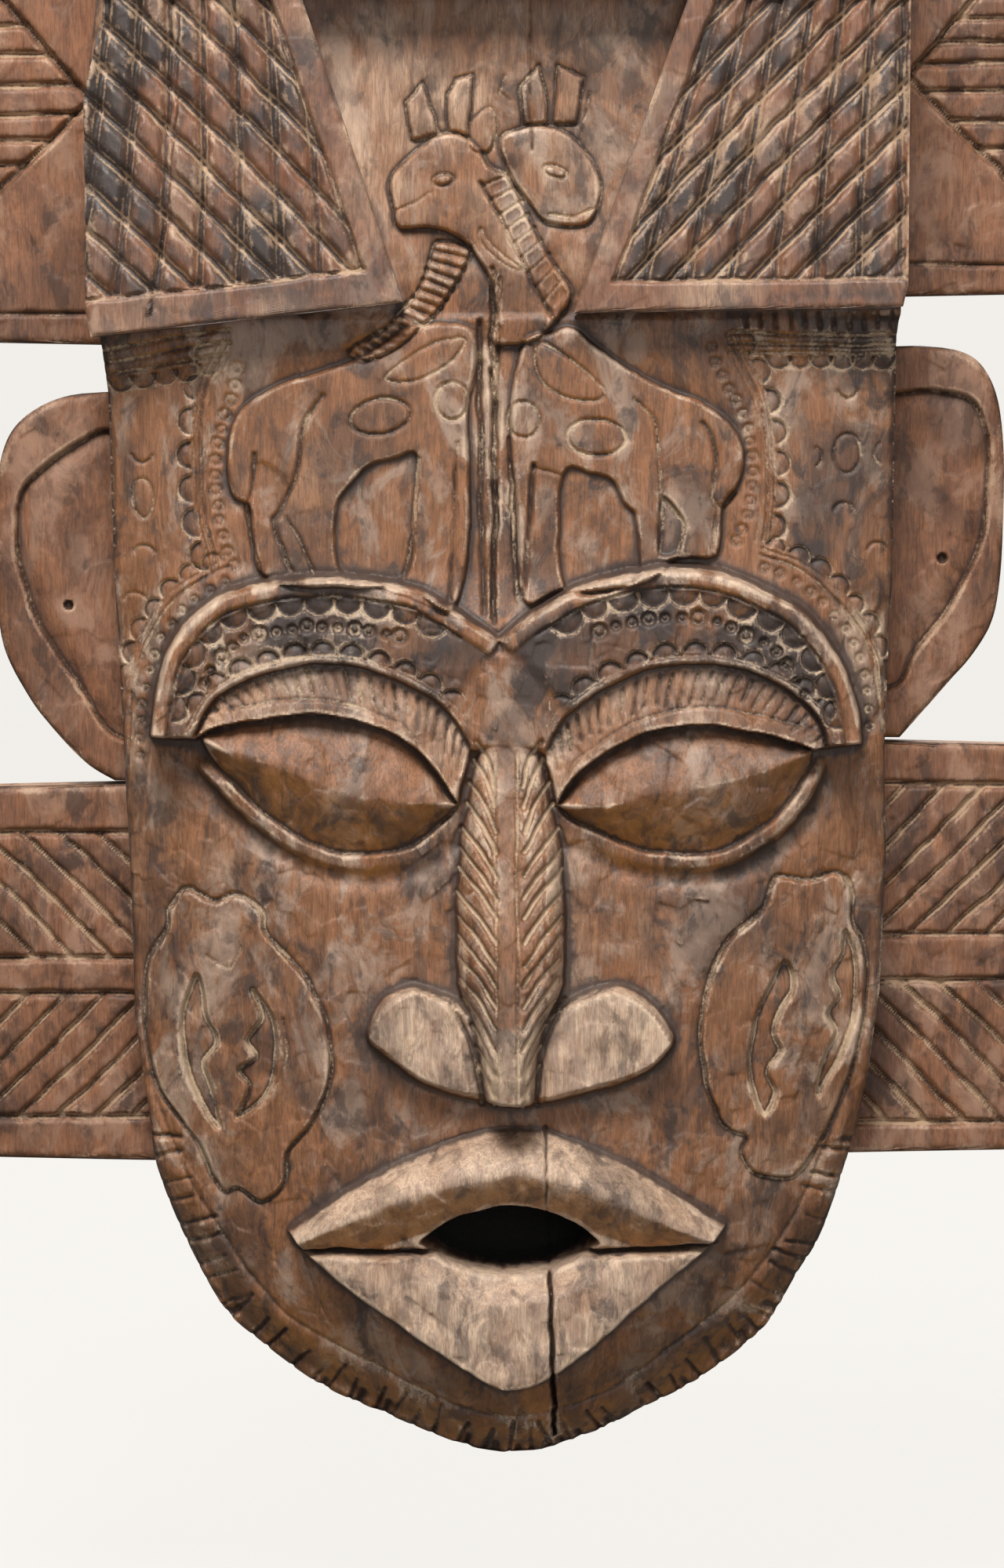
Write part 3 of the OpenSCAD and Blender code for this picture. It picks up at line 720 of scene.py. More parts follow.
def cheeks(f):
    """A raised leaf on each cheek with two notched slots in it."""
    left = smooth([(-121, -40), (-110, -45), (-102, -42), (-92, -48), (-90, -57), (-77, -71), (-69, -85),
                   (-66, -100), (-66, -115), (-72, -129), (-82, -142), (-83, -152), (-87, -158), (-94, -162),
                   (-102, -157), (-109, -158), (-118, -140), (-126, -129), (-133, -118), (-137, -100),
                   (-138, -83), (-136, -68), (-129, -56), (-128, -48)], 6, True)
    right = smooth([(135, -53), (134, -40), (128, -34), (117, -37), (105, -35), (99, -48), (87, -59),
                    (79, -76), (76, -96), (79, -116), (85, -131), (94, -136), (92, -143), (97, -151),
                    (105, -153), (114, -152), (124, -138), (132, -120), (138, -100), (141, -78),
                    (139, -62)], 6, True)
    slots = ([(-117, -74), (-123, -88), (-122, -106), (-117, -122), (-109, -133), (-112, -118), (-115, -108),
              (-110, -99), (-114, -90)],
             [(-95, -79), (-88, -90), (-87, -108), (-92, -121), (-102, -129), (-97, -117), (-101, -110),
              (-94, -105), (-98, -98), (-92, -90)],
             [(108, -69), (112, -76), (107, -86), (104, -96), (107, -103), (102, -111), (105, -120),
              (101, -128), (97, -118), (95, -104), (99, -86)],
             [(132, -57), (136, -70), (136, -88), (131, -104), (122, -121), (124, -106), (129, -97),
              (125, -89), (130, -82), (127, -74), (131, -66)])
    for outline in (left, right):
        f.sink_round(outline, 1.2, 4)
        f.lift(outline, 1.2, 2.4)
        f.cut(outline, 3.0, 2.2, 0.7, closed=True)
    for slot in slots:
        curve = smooth(slot, 6, True)
        f.lift(curve, -3.4, 1.6)
        f.cut(curve, 3.0, 2.2, 1.1, closed=True)
    f.cut(smooth([(-84, -90), (-82, -100), (-84, -110), (-91, -123)]), 2.2, 1.3, 0.7)
    f.cut(smooth([(-113, -66), (-104, -70), (-100, -62)]), 2.0, 0.9, 0.4)


def jaw(f):
    """Notches cut across the bevel outside the jaw line, no two alike."""
    at, t = along(CHIN[2:-2], 44)
    for c, d in zip(at, t):
        inward = np.array([-d[1], d[0]])
        lean = d * RANDOM.uniform(-3, 3)
        c = c + d * RANDOM.uniform(-2.2, 2.2)
        f.cut([c - inward * 3, c + inward * RANDOM.uniform(9, 16) + lean], RANDOM.uniform(1.8, 3.6),
              RANDOM.uniform(1.4, 3.2), 0.5)
        if RANDOM.random() < 0.35:
            chip = c + d * RANDOM.uniform(3, 5) + inward * RANDOM.uniform(-1, 3)
            f.cut([chip - inward * 2, chip + inward * 3], 5.5, 3.4, 0.1)
    f.cut(beside(JAW, 1.0), 2.4, 0.9, 0.5)


def giraffe_left(f):
    """The body and legs of the left animal, raised from the ground, with spots drawn in V cuts."""
    body = smooth([(-10, 172), (-34, 174), (-52, 163), (-66, 158), (-79, 154), (-91, 149), (-99, 143),
                   (-103.5, 132), (-104.5, 120), (-102, 110), (-96, 106), (-95, 96), (-90, 79), (-60, 76),
                   (-36, 76), (-18, 68), (-12, 100), (-13, 140)], 5, True)
    f.sink_round(body, 3.2, 7)
    f.lift(body, 1.6, 1.4)
    f.lift(smooth([(-63, 104), (-58, 114), (-52, 121), (-42, 124), (-32, 125), (-34, 100), (-36, 80),
                   (-60, 80)], 5, True), -3.2, 1.5)
    f.cut(smooth([(-68, 148), (-75, 137), (-77, 124), (-79, 115), (-84, 105), (-87, 99), (-80, 82)]),
          3.4, 2.2, 0.6)
    f.cut(smooth([(-82, 102), (-76, 92), (-72, 81)]), 2.4, 1.5, 0.6)
    f.cut(smooth([(-94, 126), (-95, 112), (-97, 101), (-91, 80)]), 2.8, 2.0, 0.6)
    f.lift(smooth([(-94, 122), (-93, 104), (-88, 100), (-82, 104), (-80, 112), (-86, 120)], 5, True), -1.2, 3)
    f.cut([(-31, 124), (-33, 100), (-37, 79)], 2.4, 1.5, 0.7)
    f.cut([(-17, 130), (-18, 100), (-20, 70)], 2.4, 1.7, 0.5)
    f.cut(oval((-46, 140), 11.5, 6.8, 8), 2.4, 1.6, 0.7, closed=True)
    f.cut(oval((-19, 146), 6.2, 7.2), 2.2, 1.5, 0.7, closed=True)
    f.cut(smooth([(-44, 154), (-34, 163), (-22, 169), (-14, 169), (-19, 161), (-31, 154)], 6, True), 2.0, 1.4,
          0.7, closed=True)


def giraffe_right(f):
    """The body and legs of the right animal, made as the left one is."""
    body = smooth([(8, 168), (18, 172), (27, 173), (45, 160), (62, 151), (76, 146), (87, 137), (91.5, 127),
                   (90, 115), (84, 107), (82, 88), (67, 86), (50, 77), (22, 74), (8, 71), (5, 110),
                   (3, 145)], 5, True)
    f.sink_round(body, 3.0, 7)
    f.lift(body, 1.6, 1.4)
    f.lift(smooth([(23, 118), (34, 119), (42, 116), (46, 108), (51, 101), (50, 79), (24, 76)], 5, True),
           -3.2, 1.4)
    f.lift(smooth([(61, 110), (68, 102), (67, 89), (60, 88), (59, 100)], 5, True), -2.4, 1.4)
    f.cut(smooth([(50, 147), (57, 140), (59, 128), (60, 112), (61, 98), (60, 88)]), 2.4, 1.4, 0.6)
    f.cut(smooth([(60, 110), (66, 104), (69, 98), (67, 88)]), 2.2, 1.4, 0.6)
    f.cut(smooth([(76, 138), (80, 130), (81, 120), (80, 110), (83, 106), (88, 111)]), 2.8, 2.0, 0.6)
    f.cut([(82, 105), (81, 96), (80, 87)], 2.4, 1.6, 0.5)
    f.cut([(12, 122), (10, 98), (8, 72)], 3.2, 2.6, 0.4)
    f.cut([(12, 121), (22, 118)], 2.0, 1.3, 0.4)
    f.cut(oval((36, 132), 11.2, 6.8, -4), 2.4, 1.6, 0.7, closed=True)
    f.cut(oval((8, 139), 6.2, 6.6), 2.2, 1.5, 0.5, closed=True)
    f.cut(smooth([(14, 168), (13, 158), (21, 149), (35, 146), (38, 151), (26, 162)], 6, True), 2.2, 1.5, 0.6,
          closed=True)


def heads(f):
    """Two heads in the recess, with horns, ears, and necks that cross under laddered manes."""
    right = smooth([(-1, 243), (5, 248), (13, 250), (24, 247), (31, 240), (37, 228), (36, 218), (31, 212.5),
                    (22, 212), (15, 214), (9, 222), (3, 231)], 5, True)
    left = smooth([(-39, 211), (-41, 218), (-42, 229), (-37, 236), (-30, 242), (-24, 246), (-16, 246),
                   (-9, 241), (-4, 234), (3, 230), (10, 214), (18, 199), (26, 187), (20, 176), (10, 168),
                   (-4, 168), (-2, 180), (-4, 190), (-8, 198), (-13, 205), (-20, 209.5), (-29, 211)], 5, True)
    horns = ([(-34, 244), (-36, 258), (-30, 265.5), (-25, 252), (-24, 246)],
             [(-20, 247), (-21, 261), (-17.5, 267), (-11, 268.5), (-12, 255), (-13, 245)],
             [(8, 250), (7, 264), (14, 272.5), (17, 257), (17, 250)],
             [(19, 250), (20, 262), (21, 272), (31, 267), (28, 250)])
    for k, horn in enumerate(horns):
        f.sink_round(horn, 1.3, 3)
        f.lift(horn, 1.2 if k > 1 else 1.8, 1.2)
        f.cut(horn, 1.9, 1.5, 0.6, closed=True)
    f.sink_round(right, 1.6, 4)
    f.lift(right, 1.6, 1.6)
    f.cut(right, 2.0, 1.4, 0.5, closed=True)
    f.cut(oval((20, 232), 4.4, 2.3, -22), 1.6, 1.2, 0.6, closed=True)
    f.lift(oval((20, 232), 3.2, 1.4, -22), 0.7, 0.8)
    f.cut([(18, 216), (27, 215), (36, 219)], 1.5, 1.2, 0.7)
    for line in ([(3, 259), (-1, 262), (1, 268)], [(33, 262), (31, 252), (29, 244)]):
        f.cut(line, 1.8, 1.2, 0.6)
    mane = smooth([(-12, 204), (-24.5, 206), (-28, 196), (-34, 184), (-44, 174), (-58, 165), (-52, 161),
                   (-38, 167), (-28, 176), (-20, 186), (-14, 196)], 4, True)
    f.sink_round(mane, 1.6, 3)
    f.lift(mane, 1.0, 1.2)
    f.cut(mane, 2.0, 1.6, 0.6, closed=True)
    outer = smooth([(-24, 206), (-28, 196), (-34, 184), (-44, 174), (-58, 165)])
    inner = smooth([(-12, 204), (-14, 196), (-20, 186), (-28, 176), (-52, 161)])
    for p, q in zip(along(outer, 15)[0], along(inner, 15)[0]):
        f.cut([p, q], 2.6, 2.0, 0.35)
    f.sink_round(left, 1.8, 4)
    f.lift(left, 3.0, 1.6)
    f.cut(left, 2.1, 1.5, 0.5, closed=True)
    f.cut(oval((-22, 229), 4.4, 2.3, 14), 1.6, 1.2, 0.6, closed=True)
    f.lift(oval((-22, 229), 3.1, 1.4, 14), 0.7, 0.8)
    f.cut([(-40.5, 217), (-33, 220), (-27, 224)], 1.5, 1.1, 0.6)
    f.cut(smooth([(-8, 228), (-1, 215), (7, 200), (14, 186), (20, 176)]), 2.4, 2.2, 0.6)
    a = along([(-7, 227), (0, 213), (8, 198), (19, 178)], 10)[0]
    b = along([(3, 231), (10, 215), (18, 200), (26, 187)], 10)[0]
    for p, q in zip(a[:-1], b[:-1]):
        f.cut([p, q], 2.0, 1.6, 0.7)
    for p, q, v, u in zip(a[:-1], b[:-1], a[1:], b[1:]):
        f.lift(np.array([p, q, u, v]) * 0.62 + np.array([p, q, u, v]).mean(0) * 0.38, -1.0, 1.2)
    ear = smooth([(-12, 241), (-13, 249), (-8, 255), (-3, 255), (-2, 247), (-5, 240)], 5, True)
    f.lift(ear, 1.6, 1.0)
    f.cut(ear, 2.0, 1.6, 0.6, closed=True)
    f.cut([(-3, 254), (-3, 241)], 1.3, 1.0, 0.8)
    f.cut(smooth([(-8, 211), (-8, 206), (-3, 200), (3, 196), (8, 195), (1, 200), (-5, 206)], 4, True),
          1.8, 1.3, 0.6, closed=True)


def forehead(f):
    """The animals, the split lines between them, and the bands and mouldings on both sides."""
    giraffe_left(f)
    giraffe_right(f)
    heads(f)
    # rough split lines down the middle
    for x, top, foot, deep, wide in ((-9, 176, 66, 2.6, 3.4), (-5, 158, 64, 3.6, 2.6),
                                     (-1, 192, 62, 2.6, 2.2), (2.5, 132, 70, 1.8, 2.0),
                                     (-4, 196, 150, 3.0, 2.4)):
        z = np.linspace(top, foot, 22)
        line = np.stack([x + np.cumsum(RANDOM.uniform(-0.7, 0.7, 22)), z], 1)
        f.cut(line, wide, deep, 0.6)
        f.cut(line[3:12] + (0.8, 0), wide * 1.6, deep * 0.5, 0.2)
    dots_l = smooth([(-100, 161), (-101, 152), (-105, 142), (-107.5, 131), (-109, 118), (-108, 106),
                     (-106, 94), (-101, 81)])
    dots_r = smooth([(79, 169), (81, 161), (85, 152), (91, 142), (94.5, 130), (95.5, 116), (93, 102),
                     (88, 90)])
    f.punches(dots_l, 14, 2.4, 1.2)
    f.punches(dots_r, 15, 2.2, 1.1)
    line_l = smooth([(-105, 167), (-111, 155), (-114, 140), (-114.5, 122), (-113, 103), (-108, 82)])
    line_r = smooth([(85, 171), (91, 160), (97, 147), (100, 131), (101, 115), (99, 93)])
    for line, side in ((line_l, -1), (line_r, 1)):
        f.cut(line, 2.0, 1.6, 0.6)
        f.cut(beside(line, 2.7 * side), 2.0, 1.6, 0.6)
        f.cut(beside(line, -2.8 * side), 1.6, 0.9, 0.4)
        f.scallops(beside(line, 3.6 * side), 7, 5.8, 2.4, side)
    # mouldings, a dentil row and hanging scallops on the side blocks
    for a, b in (((-152, 156), (-105, 163.5)), ((-152, 160.5), (-103, 168.5)),
                 ((-152, 165.5), (-103, 173))):
        f.cut([a, b], 2.2, 1.7, 0.7)
    f.scallops([(-107, 161), (-149, 154)], 5, 5.6, 2.3, 1)
    for z in (171.4, 167.6, 164.4):
        f.cut([(86, z), (151, z - 0.5)], 2.0, 1.7, 0.7)
    for x in np.arange(92, 149, 5.6):
        f.cut([(x, 179), (x + 0.3, 173.5)], 2.6, 1.8, 0.3)
    f.scallops([(149, 163), (101, 163)], 6, 5.2, 2.3, 1)
    f.cut(oval((-137, 109), 3.9, 7.4, 4), 2.0, 1.3, 0.6, closed=True)
    f.cut(oval((131, 126), 5.2, 7.6), 2.0, 1.3, 0.6, closed=True)
    for c, a, b in (((-137, 127), 200, 340), ((-136, 87), 20, 160), ((-140, 69), 20, 160),
                    ((131, 151), 200, 340), ((117, 125), -60, 60), ((146, 126), 120, 240),
                    ((130, 103), 20, 160), ((143, 88), 20, 160)):
        f.cut(arc(c, 4.2, a, b), 2.0, 1.4, 0.6)
    f.scallops([(-149, 150), (-147, 90)], 9, 2.6, 0.9, -1)
    f.scallops([(149, 165), (148.5, 92)], 10, 2.6, 0.9, 1)


def cracks(f):
    """Drying cracks: narrow V cuts, the longest from the upper lip to the chin."""
    main = smooth([(16.5, -131), (17.2, -160), (18.4, -184), (19.2, -215), (20.2, -238), (20.4, -256)])
    main = main + np.stack([RANDOM.normal(0, 0.18, len(main)), np.zeros(len(main))], 1)
    f.cut(main[16:], 1.7, 7, 0, sharp=0.7)
    f.cut(main, 1.1, 2.2, 0, sharp=0.7)
    for line in (smooth([(15, 12), (16.2, -40), (16.6, -122)]),
                 smooth([(-78, -180), (-73, -196), (-67, -210)]),
                 smooth([(-74, 57), (-75, 47), (-74, 44)]), smooth([(-86, 32), (-88, 20)]),
                 smooth([(10.5, 297), (11, 240)]), smooth([(-52, 78), (-20, 66), (-2, 58)])):
        f.cut(line, 1.1, 1.1, 0, sharp=0.7)


def carve_block():
    """The whole carving: ground forms, features, chisel facets, drawn lines, cracks and stain."""
    f = Carving(-162, 156, -269, 330)
    f.tone[:] = 0.5
    face_ground(f)
    brows(f)
    eyes(f)
    nose(f)
    lips(f)
    smooth_parts = ease((75 - f.Z) / 10)
    f.facets(8.5, 0.55, smooth_parts)
    f.facets(17, 0.5, smooth_parts)
    f.facets(6, 0.22)
    cheeks(f)
    jaw(f)
    forehead(f)
    cracks(f)
    f.h += RANDOM.normal(0, 0.035, f.h.shape)
    w, d = f.gap(BLOCK, 5, closed=True)
    f.h[w] -= 1.6 * (1 - ease(d / 2.4))
    f.wear[w] = np.maximum(f.wear[w], 0.35 * (1 - ease(d / 2.0)))
    f.soften()
    hollows_and_edges(f)
    paint_block(f)
    return f


def paint_block(f):
    """Stain: a tone under 0.5 is bare pale wood, over 0.6 it is darker and over 1.25 it is black,
    which is painted shade in the mouth and the ear holes.
    """
    crown = ease((f.Z - 186) / 8)
    f.tone = f.tone * (1 - crown) + 0.42 * crown
    f.tone += 0.16 * (f.ripple(24) - 0.5) + 0.14 * (f.ripple(9) - 0.5)
    blocks = ease((np.abs(f.X) - 108) / 6) * ease((f.Z - 80) / 10) * (f.Z < 178)
    f.tone += 0.20 * blocks
    f.paint(closed_between(LID_LEFT, same_way(CREASE_LEFT, LID_LEFT)), "tone", 0.52, 3)
    f.paint(closed_between(LID_RIGHT, same_way(CREASE_RIGHT, LID_RIGHT)), "tone", 0.50, 3)
    # painted shadow below the panels' lower edges, in patches
    for line in ([(-150, 172), (-37, 184)], [(27, 181), (150, 182)]):
        w, d = f.gap(line, 14)
        f.tone[w] += 0.25 * (1 - ease(d / 12)) * f.patchy[w] * (f.Z[w] < 184)


def block_back(x, z):
    """The back: flat at the wall, hollowed behind the face, with laps for the side boards, a seat for
    the brace and a pocket for the hanger."""
    out = np.zeros(x.shape)
    hollow = [(-88, 150), (-88, -100), (-80, -138), (-62, -150), (64, -150), (82, -138), (88, -100),
              (88, 150)]
    depth = np.full(x.shape, 1e9)
    p = np.array(hollow, float)
    for a, b in zip(p, np.roll(p, -1, 0)):
        d = b - a
        n = np.array([-d[1], d[0]]) / np.hypot(*d)
        depth = np.minimum(depth, (x - a[0]) * n[0] + (z - a[1]) * n[1])
    gouge = 0.9 * np.sin(x / 4.1 + 0.8 * np.sin(z / 13)) * np.sin(z / 9.3)
    out = np.where(depth > 0, np.minimum(depth * 7, HOLLOW + gouge * np.clip(depth / 8, 0, 1)), out)
    out = np.where((np.abs(x) > 110) & (z > -156), LAP, out)
    out = np.where((np.abs(x) < 106) & (np.abs(z) < 16), np.maximum(out, BRACE_SEAT), out)
    out = np.where((np.abs(x) < 30) & (z > 205) & (z < 261), HANGER_POCKET, out)
    return out


# ---------------------------------------------------------------- applied panels and boards

def soft_edge(f, outline, radius=2.2, wear=0.7):
    """Rounds the front edge to about a quarter circle and marks it as worn."""
    w, d = f.gap(outline, radius + 1, closed=True)
    k = np.clip(1 - d / radius, 0, 1)
    f.h[w] -= radius * 0.75 * (1 - np.sqrt(np.clip(1 - k * k, 0, 1)))
    rough = 0.6 + 0.4 * np.sin(f.Z[w] / 5.0) * np.sin(f.X[w] / 7.0)
    f.wear[w] = np.maximum(f.wear[w], wear * k * rough)


def lattice(f, field, steep, slanted):
    """Crossing V grooves that leave diamond pillows with rounded edges."""
    w = f.window(field, 3)
    keep = f.h.copy(), f.dust.copy()
    for line in steep:
        f.cut(line, RANDOM.uniform(7.5, 9.5), 4.0, 0.8, sharp=1.5)
    for line in slanted:
        f.cut(line, RANDOM.uniform(6.0, 8.0), 3.5, 1.1, sharp=1.5)
    inside = f.inside(field, w)
    mask = np.zeros(f.h.shape, bool)
    mask[w] = inside
    f.h = np.where(mask, f.h, keep[0])
    f.dust = np.where(mask, f.dust, keep[1])
    f.tone = np.where(mask, 0.74 + 0.8 * (f.ripple(16) - 0.45), f.tone + 0.4 * (f.ripple(15) - 0.75))


def finished(f, outline, radius=2.2, wear=0.7):
    """The last strokes on a panel or a board: worn edges, softening, and the cavity and edge masks."""
    soft_edge(f, outline, radius, wear)
    f.soften()
    hollows_and_edges(f)
    return f


def board_blank(p, margin=3):
    """A field over a board's outline with a little to spare all round."""
    (x0, z0), (x1, z1) = p.min(0) - margin, p.max(0) + margin
    return Carving(x0, x1, z0, z1, BOARD_FACE)


def bent(a, b, bow, steps=12):
    """A line from a to b with a gentle bow."""
    t = np.linspace(0, 1, steps)[:, None]
    a, b = np.array(a, float), np.array(b, float)
    n = np.array([-(b - a)[1], (b - a)[0]]) / np.hypot(*(b - a))
    return a + (b - a) * t + n * bow * np.sin(np.pi * t)


def carve_left_panel():
    """Steep and slanted grooves over a field with a plain border at its foot and inner side."""
    f = Carving(-162, -32, 165, 301, PANEL_FACE)
    f.tone[:] = 0.55
    field = [(-156.5, 184.5), (-157.5, 259), (-147, 299), (-88, 299), (-52, 195)]
    steep = [bent((-146 + 11.5 * k, 302), (-161 + 15.6 * k, 178), 1.5) for k in range(8)]
    slanted = [bent((-165, 186 + 16.5 * k), (-40, 61 + 16.5 * k), 2.0) for k in range(14)]
    lattice(f, field, steep, slanted)
    f.cut([(-158, 183.6), (-100, 189), (-52, 195)], 2.6, 2.0, 0.9)
    f.cut([(-52, 195), (-88, 299)], 3.0, 2.2, 0.8)
    f.facets(9, 0.35)
    f.cut(bent((-120, 300), (-132, 178), 3), 1.2, 1.6, 0, sharp=0.7)
    return finished(f, LEFT_PANEL)


def carve_right_panel():
    """The other panel, with its grooves leaning the other way."""
    f = Carving(22, 156, 175, 301, PANEL_FACE)
    f.tone[:] = 0.55
    field = [(42.5, 191), (151.4, 192.5), (151.4, 299), (81, 299)]
    steep = [bent((150 - 11.2 * k, 302), (150 - 16.5 * k, 178), -1.5) for k in range(8)]
    slanted = [bent((30, 76 + 16.0 * k), (165, 214 + 16.0 * k), 2.0) for k in range(15)]
    lattice(f, field, steep, slanted)
    f.cut([(42, 191), (152, 192)], 2.6, 2.0, 0.9)
    f.cut([(42.5, 191), (81, 299)], 3.0, 2.2, 0.8)
    f.facets(9, 0.35)
    f.paint([(100, 183), (146, 184), (146, 188), (104, 188)], "tone", 0.8, 5)
    return finished(f, RIGHT_PANEL)


RAIL = [(-150, 298), (151, 298), (150, 326), (-147, 326)]


def carve_rail():
    """A plain rail with one long groove."""
    f = Carving(-154, 155, 294, 330, RAIL_FACE)
    f.tone[:] = 0.6
    f.cut([(-152, 318), (153, 318)], 2.4, 1.6, 0.6)
    f.facets(9, 0.4)
    return finished(f, RAIL)


EAR_LEFT = smooth([(-151, 149.4), (-167, 148), (-180, 143), (-190, 134), (-195, 120), (-197, 99),
                   (-196.5, 75), (-194, 51), (-184, 30.5), (-172, 15), (-161, 4), (-151, -2)], 6)
EAR_LEFT = np.vstack([[(-112, 149)], EAR_LEFT, [(-112, -2)]])
EAR_RIGHT = smooth([(150, 166.5), (162, 167), (177, 165), (186, 159), (192, 146), (194.5, 125), (194.5, 99),
                    (193.5, 77), (190.5, 60.5), (183.5, 48), (172, 34.5), (155, 15)], 6)
EAR_RIGHT = np.vstack([[(112, 166)], EAR_RIGHT, [(112, 15)]])


def carve_ear(outline, inner, hole):
    """A flat board with a raised rim, a groove round its foot, a sloping bevel and a flat middle."""
    p = np.array(outline)
    f = board_blank(p)
    f.tone[:] = 0.5
    shape = smooth(inner, 6)
    w, s = f.signed(shape, 12)
    f.h[w] -= np.where(s > 0, 3.8 - 2.2 * ease(s / 9), 0) * ease(s / 0.9 + 0.5)
    f.cut(shape, 2.2, 1.0, 0.5)
    f.cut(shape[4:-4] * 0.985 + 0.015 * np.array(inner).mean(0), 1.4, 0.5, 0.3)
    f.facets(10, 0.4)
    w = f.window(hole, 6)
    r = np.hypot(f.X[w] - hole[0], f.Z[w] - hole[1])
    f.h[w] -= 3.0 * (1 - ease((r - 1.2) / 0.9))
    # painted shade in the hole, dark to black, and a painted pale dot at its middle where light shows through
    f.tone[w] = np.maximum(f.tone[w], 1.3 * (1 - ease((r - 1.6) / 1.2)))
    f.tone[w] = np.where(r < 0.8, 0.1, f.tone[w])
    return finished(f, outline, 4.0, 0.8)


def carve_upper_wing(side, bar, apex, upper, lower, outline):
    """A sunk chevron that opens outwards from its apex, filled with level grooves, over a plain bar."""
    p = np.array(outline)
    f = board_blank(p)
    f.tone[:] = 0.52
    apex, upper, lower = (np.array(v, float) for v in (apex, upper, lower))
    f.facets(11, 0.5)
    up, down = upper - apex, lower - apex
    fan = np.vstack([apex, apex + up * 3, apex + down * 3])
    w = f.window(p, 0)
    inside = f.inside(fan, w)
    f.h[w] -= np.where(inside, 0.8, 0)
    for direction in (up, down):
        f.cut([apex, apex + direction * 3], 4.6, 3.2, 0.9)
    for k in np.arange(0.16, 3, 0.30):
        for direction in (up, down):
            start = apex + direction * k
            f.cut([start, start + (side * 80, RANDOM.uniform(-2, 2))], RANDOM.uniform(3.4, 4.6), 2.6, 1.0)
    f.cut([(side * 112, bar), (side * 230, bar - 1)], 2.6, 2.0, 0.7)
    return finished(f, outline, 3.2, 0.8)


def carve_lower_wing(side, outline, bars, slopes):
    """Two fields of slanting grooves between plain bars."""
    p = np.array(outline)
    f = board_blank(p)
    f.tone[:] = 0.52
    f.facets(11, 0.5)
    for top, foot, slope in ((bars[0], bars[1], slopes[0]), (bars[2], bars[3], slopes[1])):
        high = top - foot
        for k in range(-4, 12):
            x = side * (112 + 15 * k)
            reach = high * 0.95 * slope
            line = bent((x, top - 1.5), (x + reach, foot + 1.5), 0.8)
            f.cut(line, RANDOM.uniform(3.8, 5.0), 2.7, 1.1)
        f.tone[(f.Z < top) & (f.Z > foot)] = 0.62
    for z in bars:
        f.cut([(side * 100, z), (side * 230, z + RANDOM.uniform(-1, 1))], 4.2, 2.8, 1.0)
    return finished(f, outline, 3.6, 0.9)


def wing_outline(side, low, top, reach=222):
    """A board with eased outer corners."""
    corner = [(side * (reach - 8), low + 2), (side * (reach - 2), low + 7), (side * reach, low + 14)]
    other = [(side * reach, top - 14), (side * (reach - 2), top - 7), (side * (reach - 8), top - 2)]
    return np.vstack([[(side * 112, low)], smooth(corner, 4), smooth(other, 4), [(side * 112, top)]])


# ---------------------------------------------------------------- materials

def mix(tree, factor, a, b):
    """Colour mix. Each of factor, a and b is a socket or a plain value."""
    n = tree.nodes.new("ShaderNodeMix")
    n.data_type = "RGBA"
    n.clamp_factor = True
    for socket, value in ((n.inputs[0], factor), (n.inputs[6], a), (n.inputs[7], b)):
        if isinstance(value, bpy.types.NodeSocket):
            tree.links.new(value, socket)
        elif isinstance(value, tuple):
            socket.default_value = (*value, 1)
        else:
            socket.default_value = value
    return n.outputs[2]


def maths(tree, operation, a, b=0.0, c=0.0, clamp=False):
    """One sum on sockets or plain numbers."""
    n = tree.nodes.new("ShaderNodeMath")
    n.operation = operation
    n.use_clamp = clamp
    for socket, value in zip(n.inputs, (a, b, c)):
        if isinstance(value, bpy.types.NodeSocket):
            tree.links.new(value, socket)
        else:
            socket.default_value = value
    return n.outputs[0]


def ramp(tree, value, low, high):
    """0 under low, 1 over high, smooth between."""
    n = tree.nodes.new("ShaderNodeMapRange")
    n.interpolation_type = "SMOOTHSTEP"
    tree.links.new(value, n.inputs["Value"])
    n.inputs["From Min"].default_value = low
    n.inputs["From Max"].default_value = high
    return n.outputs["Result"]


def noise(tree, vector, scale, detail=5, rough=0.55, stretch=None, distortion=0.0):
    """Fractal noise on a position, which stretch makes longer where it is under 1."""
    if stretch:
        m = tree.nodes.new("ShaderNodeMapping")
        m.inputs["Scale"].default_value = stretch
        tree.links.new(vector, m.inputs["Vector"])
        vector = m.outputs["Vector"]
    n = tree.nodes.new("ShaderNodeTexNoise")
    n.inputs["Scale"].default_value = scale
    n.inputs["Detail"].default_value = detail
    n.inputs["Roughness"].default_value = rough
    n.inputs["Distortion"].default_value = distortion
    tree.links.new(vector, n.inputs["Vector"])
    return n.outputs["Fac"]


def new_material(name):
    """A material with nodes, its node tree and its shader."""
    m = bpy.data.materials.new(name)
    m.use_nodes = True
    return m, m.node_tree, m.node_tree.nodes["Principled BSDF"]


def bumped(t, p, height, strength, distance):
    """Small relief on a shader from a height."""
    bump = t.nodes.new("ShaderNodeBump")
    bump.inputs["Strength"].default_value = strength
    bump.inputs["Distance"].default_value = distance
    t.links.new(height, bump.inputs["Height"])
    t.links.new(bump.outputs["Normal"], p.inputs["Normal"])


